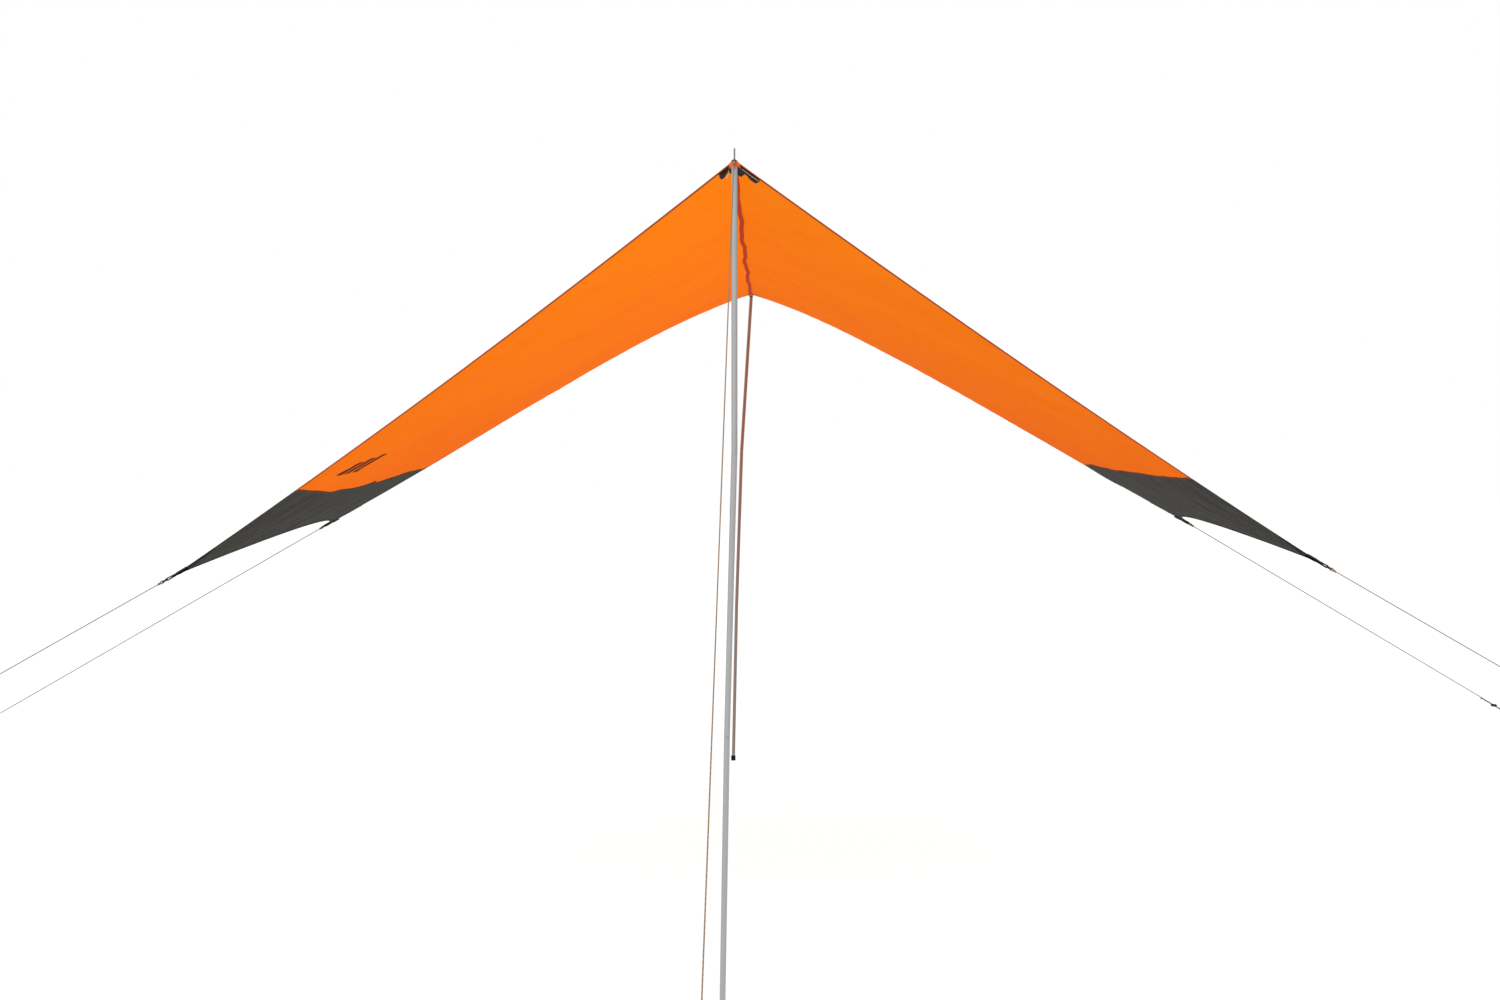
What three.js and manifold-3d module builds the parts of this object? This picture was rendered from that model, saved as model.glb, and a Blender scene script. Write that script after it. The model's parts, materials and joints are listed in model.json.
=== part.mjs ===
// A ridge tarp shelter: a six-sided fly pitched in an A shape over two poles and held out by guy lines.
// Millimetres, +Z up. The ridge runs along Y, "near" is the -Y end and "left" the -X side.
// The origin is on the ground, midway between the poles.
import * as THREE from "three";
import { mergeVertices } from "three/addons/utils/BufferGeometryUtils.js";
import Module from "manifold-3d";

const wasm = await Module();
wasm.setup();

// ---- Driving dimensions ----
const ridgeHeight = 2300; // ground to the eyelets
const ridgeLength = 4400; // pole to pole
const ridgeSag = 45; // dip of the ridge between the poles
const roofSlope = THREE.MathUtils.degToRad(31.5);
const gap = 0.3; // between pieces that touch

// Where the lines are tied to the four corner rings. Uneven pegging leaves the far ones a little higher.
const lineAnchors = {
  near_left: new THREE.Vector3(-1885, -1115, 1130),
  near_right: new THREE.Vector3(1885, -1115, 1130),
  far_left: new THREE.Vector3(-1885, 1115, 1220),
  far_right: new THREE.Vector3(1920, 1115, 1188),
};

// Where each taut line would meet the ground if it ran straight on.
const groundAims = {
  near_left: new THREE.Vector3(-3750, -2115, 0),
  near_right: new THREE.Vector3(3610, -2115, 0),
  far_left: new THREE.Vector3(-4235, 2115, 0),
  far_right: new THREE.Vector3(4020, 2115, 0),
  front: new THREE.Vector3(-66, -4260, 0),
};

// The catenary cuts: how far the middle of an edge lies inside the straight line between its ends.
const endCuts = { near_left: 150, near_right: 164, far_left: 134, far_right: 145 };
const sideCut = 162;
const sideSag = 20; // the side edges also hang a little
const farLift = 74; // the far edge billows up near the ridge
const farDip = 11; // and dips slightly near the corners

// Cloth and webbing
const clothThickness = 2;
const seamGap = gap / 2000; // the gap along the orange and dark panels' seam, as a share of the slope
const longSteps = 18; // facets from the near end to the far end
const roofSteps = 10; // from the ridge to the seam
const stripSteps = 4; // from the seam to the side edge
const tapeWidth = 14;
const tipInset = 36; // the panels stop this far short of the poles, where the ridge tabs take over
const seamPlace = { near: 0.786, far: 0.804 }; // the roof panel's share of the way down to the side edge
const seamBow = 0.022; // and how much further out the seam lies at its middle
const bindingWidth = 9;
const bindingGap = 1.5; // clear of the facets of the curved edge
const bindingThickness = 2.4;
const patchInner = 42;
const patchWidth = 80;
const patchDepth = 170;
const patchDrop = 4.5;
const patchHalfAngle = THREE.MathUtils.degToRad(52);
const patchSteps = { around: 10, outwards: 3 };
const endBandSpan = [0.012, 0.977]; // where the end bindings start and stop, as shares of their edges
const sideBandSpan = [0.03, 0.97]; // and the side bindings
const webbingThickness = 2.4;

// Corner tabs and rings
const tabWidth = 25;
const tabUnder = 18; // length sewn under the cloth
const tabOut = 45; // length that stands out past the corner
const tabDrop = 7;
const tabEndBar = 10; // webbing left outside the ring's hole
const cornerRing = { radius: 11, wire: 2.2, hole: 4 };

// Ridge tabs and eyelets
const ridgeTabBack = 34; // from the eyelet's centre towards the middle of the tarp
const ridgeTabFront = 62; // and outwards
const ridgeTabHalfBack = 20;
const ridgeTabHalfFront = 12;
const eyeletBore = 5;
const eyeletBarrel = 6;
const eyeletFlange = 10.5;
const eyeletLip = 0.8;
const eyeletHole = 6.4;
const ridgeTabEndBar = 6;
const ridgeRing = { radius: 8, wire: 1.8, hole: 4 };
const ridgeRingTilt = THREE.MathUtils.degToRad(30);

// Poles: three push-fit steel sections each
const poleRadius = 8;
const poleBore = 7;
const spigotRadius = 6.6;
const spigotBore = 5.4;
const spigotLength = 60;
const jointGap = 0.6;
const poleTop = 2288; // the pole swings about this point, the centre of its domed shoulder
const poleBreaks = [poleTop, 1534, 770];
const poleLean = { near: [0, -9, -38, -60], far: [0, -56, -90, -115] }; // sideways, down the pole
const spikeRadius = 2.2;
const spikeTop = 2333;
const spikeBlunt = 3; // the height of its bevelled end
const domeAngles = [15, 35, 55].map(THREE.MathUtils.degToRad); // points of the tip's shoulder
const plugDepth = 30;
const chamfer = 0.8;
const footRadius = 11;
const footBore = 9.2;
const footHeight = 24;
const footFloor = 5;
const roundSides = 18;

// Guy lines, runners and pegs
const lineRadius = 1.5;
const loopRadius = 6; // the line's turn round the peg
const lineSides = 4; // curve segments per half round of the section, giving eight sides
const lineStart = 3.2; // clear of the ring's wire
const runnerFromPeg = 300;
const tailAboveRunner = 80;
const runnerLength = 34;
const runnerWidth = 12;
const runnerThickness = 5;
const runnerHole = 2.2;
const pegRadius = 3.25;
const pegBelowLine = 160;
const pegAboveLine = 7;
const pegHookRadius = 8;
const pegHookDrop = 9;
const pegPoint = 18;
const hookSteps = 6; // facets of the hook's bend
const turnSteps = 6; // and of the line's turn round the peg
const lineSteps = { down: 10, back: 4 }; // pieces of the line's two straight strands
const pegSteps = 3;
const pegSides = 12;
const pegLap = 0.5; // the point runs this far into the shaft

const ends = { near: -1, far: 1 };
const sides = { left: -1, right: 1 };
const UP = new THREE.Vector3(0, 0, 1);
const V = (x, y, z) => new THREE.Vector3(x, y, z);
const { lerp } = THREE.MathUtils;

// ---- Materials ----
const paint = (color, roughness, metalness = 0) =>
  new THREE.MeshStandardMaterial({ color, roughness, metalness });
const orangeCloth = paint(0xf8780c, 0.75);
const darkCloth = paint(0x42413c, 0.8);
const darkWebbing = paint(0x1c1a18, 0.85);
const edgeTape = paint(0x7a2a10, 0.8);
const blackPlastic = paint(0x121212, 0.5);
const steel = paint(0xb4b3b5, 0.35, 1);
const bronzedSteel = paint(0x947260, 0.4, 1);
const brightSteel = paint(0xc9c9c9, 0.25, 1);
const brass = paint(0xb8934a, 0.3, 1);
const orangeLine = paint(0xe98f45, 0.7);
const greyLine = paint(0x6e6c68, 0.7);

const tarp = new THREE.Group();

function addMesh(name, geometry, material, parent = tarp) {
  const mesh = new THREE.Mesh(geometry, material);
  mesh.name = name;
  parent.add(mesh);
  return mesh;
}

// ---- Solids ----
function toManifold(geometry) {
  const bare = geometry.clone();
  bare.deleteAttribute("normal");
  bare.deleteAttribute("uv");
  const merged = mergeVertices(bare, 1e-3);
  return new wasm.Manifold(
    new wasm.Mesh({
      numProp: 3,
      vertProperties: merged.attributes.position.array,
      triVerts: new Uint32Array(merged.index.array),
    }),
  );
}

function toGeometry(solid) {
  const mesh = solid.getMesh();
  const geometry = new THREE.BufferGeometry();
  geometry.setAttribute("position", new THREE.BufferAttribute(mesh.vertProperties, 3));
  geometry.setIndex(new THREE.BufferAttribute(mesh.triVerts, 1));
  geometry.computeVertexNormals();
  return geometry;
}

function signedVolume(points, faces) {
  let six = 0;
  const cross = new THREE.Vector3();
  for (let i = 0; i < faces.length; i += 3) {
    const [a, b, c] = [points[faces[i]], points[faces[i + 1]], points[faces[i + 2]]];
    six += a.dot(cross.crossVectors(b, c));
  }
  return six;
}

// A sheet of cloth as a closed solid: at(u, v) is its middle surface, and its thickness is upright.
function clothSolid(uSteps, vSteps, thickness, at) {
  const points = [];
  for (const side of [0.5, -0.5]) {
    for (let i = 0; i <= uSteps; i++) {
      for (let j = 0; j <= vSteps; j++) {
        points.push(at(i / uSteps, j / vSteps).addScaledVector(UP, side * thickness));
      }
    }
  }
  const layer = (uSteps + 1) * (vSteps + 1);
  const index = (i, j, bottom) => bottom * layer + i * (vSteps + 1) + j;
  const faces = [];
  const quad = (a, b, c, d) => faces.push(a, b, c, a, c, d);
  for (let i = 0; i < uSteps; i++) {
    for (let j = 0; j < vSteps; j++) {
      quad(index(i, j, 0), index(i + 1, j, 0), index(i + 1, j + 1, 0), index(i, j + 1, 0));
      quad(index(i, j, 1), index(i, j + 1, 1), index(i + 1, j + 1, 1), index(i + 1, j, 1));
    }
  }
  for (let i = 0; i < uSteps; i++) {
    quad(index(i, 0, 0), index(i, 0, 1), index(i + 1, 0, 1), index(i + 1, 0, 0));
    quad(index(i, vSteps, 0), index(i + 1, vSteps, 0), index(i + 1, vSteps, 1), index(i, vSteps, 1));
  }
  for (let j = 0; j < vSteps; j++) {
    quad(index(0, j, 0), index(0, j + 1, 0), index(0, j + 1, 1), index(0, j, 1));
    quad(index(uSteps, j, 0), index(uSteps, j, 1), index(uSteps, j + 1, 1), index(uSteps, j + 1, 0));
  }
  if (signedVolume(points, faces) < 0) faces.reverse();
  const geometry = new THREE.BufferGeometry().setFromPoints(points);
  geometry.setIndex(faces);
  geometry.computeVertexNormals();
  return geometry;
}

// A solid of revolution about Z from a closed outline of [radius, height] points.
function turned(outline, segments = roundSides) {
  const points = [...outline, outline[0]].map(([r, z]) => new THREE.Vector2(r, z));
  return new THREE.LatheGeometry(points, segments).rotateX(Math.PI / 2);
}

// A route whose steps land on its own points, for extruding a round section along it.
class Route extends THREE.Curve {
  constructor(points) {
    super();
    this.points = points;
  }
  getPoint(t, target = new THREE.Vector3()) {
    const place = t * (this.points.length - 1);
    const i = Math.min(Math.floor(place), this.points.length - 2);
    return target.lerpVectors(this.points[i], this.points[i + 1], place - i);
  }
  getPointAt(u, target) {
    return this.getPoint(u, target);
  }
  getTangentAt(u, target = new THREE.Vector3()) {
    const last = this.points.length - 1;
    const i = Math.round(u * last);
    const before = this.points[Math.max(i - 1, 0)];
    const after = this.points[Math.min(i + 1, last)];
    return target.subVectors(after, before).normalize();
  }
}

function roundAlong(points, radius, curveSegments) {
  const section = new THREE.Shape();
  section.absarc(0, 0, radius, 0, 2 * Math.PI);
  return new THREE.ExtrudeGeometry(section, {
    extrudePath: new Route(points),
    steps: points.length - 1,
    curveSegments,
  });
}

const straightRun = (from, to, steps) =>
  Array.from({ length: steps + 1 }, (_, i) => from.clone().lerp(to, i / steps));

// ---- Corners: the cloth ends a tab and a ring short of where the line is tied ----
// The frame of a line: z along it towards the peg, y square to it and upwards, x sideways and level.
function lineFrame(direction) {
  const z = direction.clone().normalize();
  const y = UP.clone().addScaledVector(z, -UP.dot(z)).normalize();
  const x = y.clone().cross(z);
  const basis = new THREE.Matrix4().makeBasis(x, y, z);
  return { x, y, z, quaternion: new THREE.Quaternion().setFromRotationMatrix(basis) };
}

const cornerReach = tabOut - tabEndBar + 2 * cornerRing.radius;
const lineFrames = {};
const corners = {};
for (const [name, anchor] of Object.entries(lineAnchors)) {
  const frame = lineFrame(groundAims[name].clone().sub(anchor));
  lineFrames[name] = frame;
  corners[name] = anchor
    .clone()
    .addScaledVector(frame.z, -cornerReach)
    .addScaledVector(frame.y, tabDrop);
}

// ---- The tarp's surface ----
function apexPoint(side, end) {
  const x = sides[side] * (tapeWidth / 2 + gap);
  const drop = Math.abs(x) * Math.tan(roofSlope);
  return V(x, ends[end] * (ridgeLength / 2 - tipInset), ridgeHeight - drop);
}

function endEdge(side, end) {
  const apex = apexPoint(side, end);
  const along = corners[`${end}_${side}`].clone().sub(apex);
  const unit = along.clone().normalize();
  const inward = V(0, -ends[end], 0);
  inward.addScaledVector(unit, -inward.dot(unit)).normalize();
  const rises = end === "far" ? [farLift, -farDip] : [0, 0];
  const controls = rises.map((rise, i) =>
    apex
      .clone()
      .addScaledVector(along, (i + 1) / 3)
      .addScaledVector(inward, (endCuts[`${end}_${side}`] * 4) / 3)
      .addScaledVector(UP, (rise * 4) / 3),
  );
  return new THREE.CubicBezierCurve3(apex, ...controls, corners[`${end}_${side}`]);
}

function sideEdge(side) {
  const [near, far] = [corners[`near_${side}`], corners[`far_${side}`]];
  const inward = V(-sides[side] * Math.cos(roofSlope), 0, Math.sin(roofSlope));
  const controls = [1 / 3, 2 / 3].map((share) =>
    near
      .clone()
      .lerp(far, share)
      .addScaledVector(inward, (sideCut * 4) / 3)
      .addScaledVector(UP, (-sideSag * 4) / 3),
  );
  return new THREE.CubicBezierCurve3(near, ...controls, far);
}

// Half of the tarp as a patch between its four edges: s runs from the ridge down, t from near to far.
function halfTarp(side) {
  const near = endEdge(side, "near");
  const far = endEdge(side, "far");
  const outer = sideEdge(side);
  const ridge = (t) =>
    apexPoint(side, "near")
      .lerp(apexPoint(side, "far"), t)
      .addScaledVector(UP, -4 * ridgeSag * t * (1 - t));
  const flat = (s, t) =>
    apexPoint(side, "near")
      .lerp(apexPoint(side, "far"), t)
      .lerp(corners[`near_${side}`].clone().lerp(corners[`far_${side}`], t), s);
  return (s, t) => {
    const across = near.getPoint(s).lerp(far.getPoint(s), t);
    const along = ridge(t).lerp(outer.getPoint(t), s);
    return across.add(along).sub(flat(s, t));
  };
}

const surfaces = { left: halfTarp("left"), right: halfTarp("right") };
const seamAt = (t) =>
  lerp(seamPlace.near, seamPlace.far, t) + seamBow * 4 * t * (1 - t);

// A point past an edge: the nearest point of the edge, moved outwards in the cloth's own plane.
function pastEdge(side, s, t, distance) {
  const at = surfaces[side];
  const step = 1e-3;
  const alongS = at(Math.min(s + step, 1), t).sub(at(Math.max(s - step, 0), t));
  const alongT = at(s, Math.min(t + step, 1)).sub(at(s, Math.max(t - step, 0)));
  const normal = alongS.clone().cross(alongT).normalize();
  const edge = s === 1 ? alongT : alongS;
  const outward = edge.clone().cross(normal).normalize();
  const inside = at(s === 1 ? 1 - step : s, THREE.MathUtils.clamp(t, step, 1 - step)).sub(at(s, t));
  if (outward.dot(inside) > 0) outward.negate();
  return at(s, t).addScaledVector(outward, distance);
}

// The height of the cloth's middle surface over a point of the ground plan, by Newton's method.
function roofHeight(x, y) {
  const at = surfaces[x < 0 ? "left" : "right"];
  const step = 1e-4;
  let [s, t] = [0.1, 0.5];
  let found = at(s, t);
  for (let round = 0; round < 12; round++) {
    const alongS = at(s + step, t).sub(found).divideScalar(step);
    const alongT = at(s, t + step).sub(found).divideScalar(step);
    const area = alongS.x * alongT.y - alongS.y * alongT.x;
    const [dx, dy] = [x - found.x, y - found.y];
    s += (dx * alongT.y - dy * alongT.x) / area;
    t += (alongS.x * dy - alongS.y * dx) / area;
    found = at(s, t);
  }
  return found.z;
}

function addPanels(side) {
  const at = surfaces[side];
  const roof = clothSolid(roofSteps, longSteps, clothThickness, (u, v) => at(u * seamAt(v), v));
  addMesh(`roof_panel_${side}`, roof, orangeCloth);
  const strip = clothSolid(stripSteps, longSteps, clothThickness, (u, v) => {
    const start = seamAt(v) + seamGap;
    return at(start + u * (1 - start), v);
  });
  addMesh(`side_panel_${side}`, strip, darkCloth);
}

function addBindings(side) {
  const band = (at) => (u, v) => at(v, bindingGap + u * bindingWidth);
  const endBand = (t) => band((v, d) => pastEdge(side, lerp(...endBandSpan, v), t, d));
  const sideBand = band((v, d) => pastEdge(side, 1, lerp(...sideBandSpan, v), d));
  const solid = (at) => clothSolid(1, longSteps, bindingThickness, at);
  addMesh(`edge_binding_near_${side}`, solid(endBand(0)), edgeTape);
  addMesh(`edge_binding_far_${side}`, solid(endBand(1)), edgeTape);
  addMesh(`edge_binding_side_${side}`, solid(sideBand), darkWebbing);
}

function addRidgeTape() {
  const reach = ridgeLength / 2 - tipInset;
  const tape = clothSolid(2, longSteps, clothThickness, (u, v) => {
    const x = (u - 0.5) * tapeWidth;
    const drop = Math.abs(x) * Math.tan(roofSlope) + 4 * ridgeSag * v * (1 - v);
    return V(x, (2 * v - 1) * reach, ridgeHeight - drop);
  });
  addMesh("ridge_seam_tape", tape, edgeTape);
}

// The dark reinforcement under each end of the ridge, a half ellipse about the eyelet.
function addApexPatch(end) {
  const patch = clothSolid(patchSteps.around, patchSteps.outwards, clothThickness, (u, v) => {
    const angle = (u - 0.5) * 2 * patchHalfAngle;
    const [across, inwards] = [Math.sin(angle), Math.cos(angle)];
    const rim = 1 / Math.hypot(across / patchWidth, inwards / patchDepth);
    const reach = patchInner + v * (rim - patchInner);
    const x = across * reach;
    const y = ends[end] * (ridgeLength / 2 - inwards * reach);
    return V(x, y, roofHeight(x, y) - patchDrop);
  });
  addMesh(`apex_patch_${end}`, patch, darkWebbing);
}

const ringGeometry = (ring) => new THREE.TorusGeometry(ring.radius, ring.wire, 6, 16);

// A flat webbing tab with round holes, drawn in its own plane.
function webbingTab(outline, holes) {
  const shape = new THREE.Shape(outline.map(([x, y]) => new THREE.Vector2(x, y)));
  for (const [x, y, radius] of holes) {
    const hole = new THREE.Path();
    hole.absarc(x, y, radius, 0, 2 * Math.PI, true);
    shape.holes.push(hole);
  }
  const options = { depth: webbingThickness, bevelEnabled: false, curveSegments: 8 };
  return new THREE.ExtrudeGeometry(shape, options).translate(0, 0, -webbingThickness / 2);
}

// ---- Ridge ends: a webbing tab with a brass eyelet for the pole and a ring for a line ----
function addRidgeEnd(end) {
  const group = new THREE.Group();
  group.position.set(0, ends[end] * (ridgeLength / 2), ridgeHeight);
  if (end === "far") group.rotation.z = Math.PI;
  tarp.add(group);

  const holeY = -(ridgeTabFront - ridgeTabEndBar);
  const outline = [
    [-ridgeTabHalfBack, ridgeTabBack],
    [-ridgeTabHalfFront, -ridgeTabFront],
    [ridgeTabHalfFront, -ridgeTabFront],
    [ridgeTabHalfBack, ridgeTabBack],
  ];
  const holes = [
    [0, 0, eyeletHole],
    [0, holeY, ridgeRing.hole],
  ];
  addMesh(`ridge_tab_${end}`, webbingTab(outline, holes), darkWebbing, group);

  const inner = webbingThickness / 2 + gap;
  const outer = inner + eyeletLip;
  const eyelet = turned([
    [eyeletBore, -outer],
    [eyeletFlange, -outer],
    [eyeletFlange, -inner],
    [eyeletBarrel, -inner],
    [eyeletBarrel, inner],
    [eyeletFlange, inner],
    [eyeletFlange, outer],
    [eyeletBore, outer],
  ]);
  addMesh(`eyelet_${end}`, eyelet, brass, group);

  const ring = addMesh(`ridge_ring_${end}`, ringGeometry(ridgeRing), blackPlastic, group);
  ring.rotation.y = Math.PI / 2;
  ring.position.set(0, holeY, 0).add(ridgeRingOffset());
}

const ridgeRingOffset = () =>
  V(0, -Math.cos(ridgeRingTilt), -Math.sin(ridgeRingTilt)).multiplyScalar(ridgeRing.radius);

// ---- Poles ----
const directionQuaternion = (direction) =>
  new THREE.Quaternion().setFromUnitVectors(UP, direction.clone().normalize());

function alongAxis(geometry, start, end) {
  const turn = directionQuaternion(end.clone().sub(start));
  return geometry.applyQuaternion(turn).translate(start.x, start.y, start.z);
}

function rod(radius, start, end) {
  const length = start.distanceTo(end);
  const cylinder = new THREE.CylinderGeometry(radius, radius, length, roundSides);
  cylinder.rotateX(Math.PI / 2).translate(0, 0, length / 2);
  return toManifold(alongAxis(cylinder, start, end));
}

function addPole(end) {
  const y = ends[end] * (ridgeLength / 2);
  const heights = [...poleBreaks, footFloor + gap];
  const nodes = heights.map((z, i) => V(poleLean[end][i], y, z));
  const names = ["upper", "middle", "lower"];
  names.forEach((name, i) => {
    const [top, bottom] = [nodes[i], nodes[i + 1]];
    const down = bottom.clone().sub(top).normalize();
    const start = i === 0 ? top : top.clone().addScaledVector(down, jointGap);
    const past = down.clone().multiplyScalar(poleRadius);
    let section = rod(poleRadius, start, bottom);
    if (i === 0) {
      section = section.subtract(rod(poleBore, start.clone().sub(past), bottom.clone().add(past)));
    } else {
      const above = nodes[i - 1].clone().sub(top).normalize();
      const spigotTop = top.clone().addScaledVector(above, spigotLength);
      const throat = start.clone().addScaledVector(down, poleRadius);
      section = section
        .add(rod(spigotRadius, throat, spigotTop))
        .subtract(rod(poleBore, throat, bottom.clone().add(past)))
        .subtract(
          rod(spigotBore, throat.clone().add(past), spigotTop.addScaledVector(above, poleRadius)),
        );
    }
    addMesh(`${end}_pole_${name}`, toGeometry(section), end === "near" ? steel : bronzedSteel);
  });
  addPoleTip(end, nodes);
  addPoleFoot(end, nodes);
}

// The turned end piece: a plug inside the tube, a domed shoulder and the spike through the eyelet.
function addPoleTip(end, nodes) {
  const outline = [
    [0, -plugDepth],
    [spigotRadius - chamfer, -plugDepth],
    [spigotRadius, chamfer - plugDepth],
    [spigotRadius, gap],
    [poleRadius, gap],
  ];
  for (const angle of domeAngles) {
    outline.push([poleRadius * Math.cos(angle), poleRadius * Math.sin(angle)]);
  }
  const top = spikeTop - poleTop;
  outline.push([spikeRadius, poleRadius], [spikeRadius, top - spikeBlunt]);
  outline.push([spikeRadius / 2, top], [0, top]);
  const points = outline.map(([r, z]) => new THREE.Vector2(r, z));
  const tip = new THREE.LatheGeometry(points, roundSides).rotateX(Math.PI / 2);
  const above = nodes[0].clone().multiplyScalar(2).sub(nodes[1]);
  addMesh(`${end}_pole_tip`, alongAxis(tip, nodes[0], above), brightSteel);
}

// The foot stands upright, flat on the ground, round the leaning tube.
function addPoleFoot(end, nodes) {
  const last = nodes[3];
  const foot = turned([
    [0, 0],
    [footRadius - chamfer, 0],
    [footRadius, chamfer],
    [footRadius, footHeight - chamfer],
    [footRadius - chamfer, footHeight],
    [footBore, footHeight],
    [footBore, footFloor],
    [0, footFloor],
  ]);
  const mesh = addMesh(`${end}_pole_foot`, foot, blackPlastic);
  mesh.position.set(last.x, last.y, 0);
}

// ---- Guy lines, each with a runner and a peg ----
function framedGroup(position, frame) {
  const group = new THREE.Group();
  group.position.copy(position);
  group.quaternion.copy(frame.quaternion);
  tarp.add(group);
  return group;
}

function addCornerTab(name, frame) {
  const group = framedGroup(corners[name], frame);
  const outline = [
    [-tabWidth / 2, -tabUnder],
    [tabWidth / 2, -tabUnder],
    [tabWidth / 2, tabOut],
    [-tabWidth / 2, tabOut],
  ];
  const holes = [[0, tabOut - tabEndBar, cornerRing.hole]];
  const tab = webbingTab(outline, holes).rotateX(Math.PI / 2).translate(0, -tabDrop, 0);
  addMesh(`corner_tab_${name}`, tab, darkWebbing, group);
  const ring = addMesh(`corner_ring_${name}`, ringGeometry(cornerRing), blackPlastic, group);
  ring.rotation.y = Math.PI / 2;
  ring.position.set(0, -tabDrop, tabOut - tabEndBar + cornerRing.radius);
}

function linePath(length) {
  const turn = [];
  for (let i = 0; i <= turnSteps; i++) {
    const angle = Math.PI - (Math.PI * i) / turnSteps;
    turn.push(V(loopRadius + loopRadius * Math.cos(angle), 0, length + loopRadius * Math.sin(angle)));
  }
  const tailEnd = length - runnerFromPeg - tailAboveRunner;
  const down = straightRun(V(0, 0, lineStart), V(0, 0, length), lineSteps.down).slice(0, -1);
  const x = 2 * loopRadius;
  const back = straightRun(V(x, 0, length), V(x, 0, tailEnd), lineSteps.back).slice(1);
  return [...down, ...turn, ...back];
}

function runnerGeometry() {
  const half = (runnerLength - runnerWidth) / 2;
  const end = runnerWidth / 2;
  const shape = new THREE.Shape();
  shape.absarc(loopRadius + half, 0, end, -Math.PI / 2, Math.PI / 2);
  shape.absarc(loopRadius - half, 0, end, Math.PI / 2, (3 * Math.PI) / 2);
  for (const x of [0, 2 * loopRadius]) {
    const hole = new THREE.Path();
    hole.absarc(x, 0, runnerHole, 0, 2 * Math.PI, true);
    shape.holes.push(hole);
  }
  return new THREE.ExtrudeGeometry(shape, {
    depth: runnerThickness,
    bevelEnabled: false,
    curveSegments: 6,
  });
}

// The peg's shaft stands across the line, its hook turned away from the tarp, its point on the ground.
function pegGeometry() {
  const path = straightRun(V(0, pegPoint - pegBelowLine, 0), V(0, pegAboveLine, 0), pegSteps);
  for (let i = 1; i <= hookSteps; i++) {
    const angle = Math.PI - (Math.PI * i) / hookSteps;
    const [rise, away] = [Math.sin(angle), 1 + Math.cos(angle)];
    path.push(V(0, pegAboveLine + pegHookRadius * rise, pegHookRadius * away));
  }
  path.push(V(0, pegAboveLine - pegHookDrop, 2 * pegHookRadius));
  const point = new THREE.ConeGeometry(pegRadius, pegPoint + pegLap, pegSides).rotateX(Math.PI);
  point.translate(0, (pegPoint + pegLap) / 2 - pegBelowLine, 0);
  return toGeometry(toManifold(roundAlong(path, pegRadius, pegSides / 2)).add(toManifold(point)));
}

function addGuyLine(name, pivot, frame, material) {
  const length = (pivot.z - pegBelowLine * frame.y.z) / -frame.z.z;
  const group = framedGroup(pivot, frame);
  addMesh(`guy_line_${name}`, roundAlong(linePath(length), lineRadius, lineSides), material, group);
  const runner = addMesh(`line_runner_${name}`, runnerGeometry(), blackPlastic, group);
  runner.position.z = length - runnerFromPeg;
  const peg = addMesh(`peg_${name}`, pegGeometry(), brightSteel, group);
  peg.position.set(loopRadius, 0, length);
}

function addCornerGuy(name, material) {
  addCornerTab(name, lineFrames[name]);
  addGuyLine(name, lineAnchors[name], lineFrames[name], material);
}

function addFrontGuy() {
  const hole = V(0, -ridgeLength / 2 - (ridgeTabFront - ridgeTabEndBar), ridgeHeight);
  const ringCentre = hole.add(ridgeRingOffset());
  const frame = lineFrame(groundAims.front.clone().sub(ringCentre));
  const pivot = ringCentre.addScaledVector(frame.z, ridgeRing.radius);
  addGuyLine("front", pivot, frame, orangeLine);
}

for (const side of Object.keys(sides)) {
  addPanels(side);
  addBindings(side);
}
addRidgeTape();
for (const end of Object.keys(ends)) {
  addApexPatch(end);
  addRidgeEnd(end);
  addPole(end);
}
for (const name of Object.keys(corners)) {
  addCornerGuy(name, name.startsWith("near") ? orangeLine : greyLine);
}
addFrontGuy();

export default tarp;
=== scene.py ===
"""A six-sided ridge tarp pitched in an A shape over two sectional poles, held out by five guy lines.

Metres, +Z up, the ridge along Y: "near" is the -Y end and "left" the -X side, as in the CAD frame.
"""

import json
import math
import random

import bmesh
import bpy
import numpy as np
from mathutils import Matrix, Vector


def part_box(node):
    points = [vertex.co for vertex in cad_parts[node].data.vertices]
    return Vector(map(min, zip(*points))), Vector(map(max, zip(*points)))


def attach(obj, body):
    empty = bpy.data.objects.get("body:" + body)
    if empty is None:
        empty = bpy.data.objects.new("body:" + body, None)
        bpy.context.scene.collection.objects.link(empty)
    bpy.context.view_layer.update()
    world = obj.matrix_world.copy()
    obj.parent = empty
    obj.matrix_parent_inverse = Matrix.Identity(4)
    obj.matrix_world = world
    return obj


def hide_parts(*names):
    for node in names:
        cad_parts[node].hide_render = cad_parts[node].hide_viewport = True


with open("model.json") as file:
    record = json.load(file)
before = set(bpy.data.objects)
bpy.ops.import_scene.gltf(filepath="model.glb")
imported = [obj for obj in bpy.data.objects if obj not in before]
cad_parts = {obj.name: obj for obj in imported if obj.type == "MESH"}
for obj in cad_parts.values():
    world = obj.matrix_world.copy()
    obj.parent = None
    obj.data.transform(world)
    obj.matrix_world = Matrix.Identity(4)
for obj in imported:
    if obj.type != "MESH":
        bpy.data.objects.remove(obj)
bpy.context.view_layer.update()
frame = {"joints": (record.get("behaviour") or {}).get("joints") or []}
joints = {j["name"]: j for j in frame["joints"]}

ENDS = {"near": -1, "far": 1}
SIDES = {"left": -1, "right": 1}
CORNERS = [f"{end}_{side}" for end in ENDS for side in SIDES]
GUYS = CORNERS + ["front"]
UP = np.array([0.0, 0.0, 1.0])


def unit(v):
    v = np.asarray(v, float)
    return v / np.linalg.norm(v, axis=-1, keepdims=True)


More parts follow.
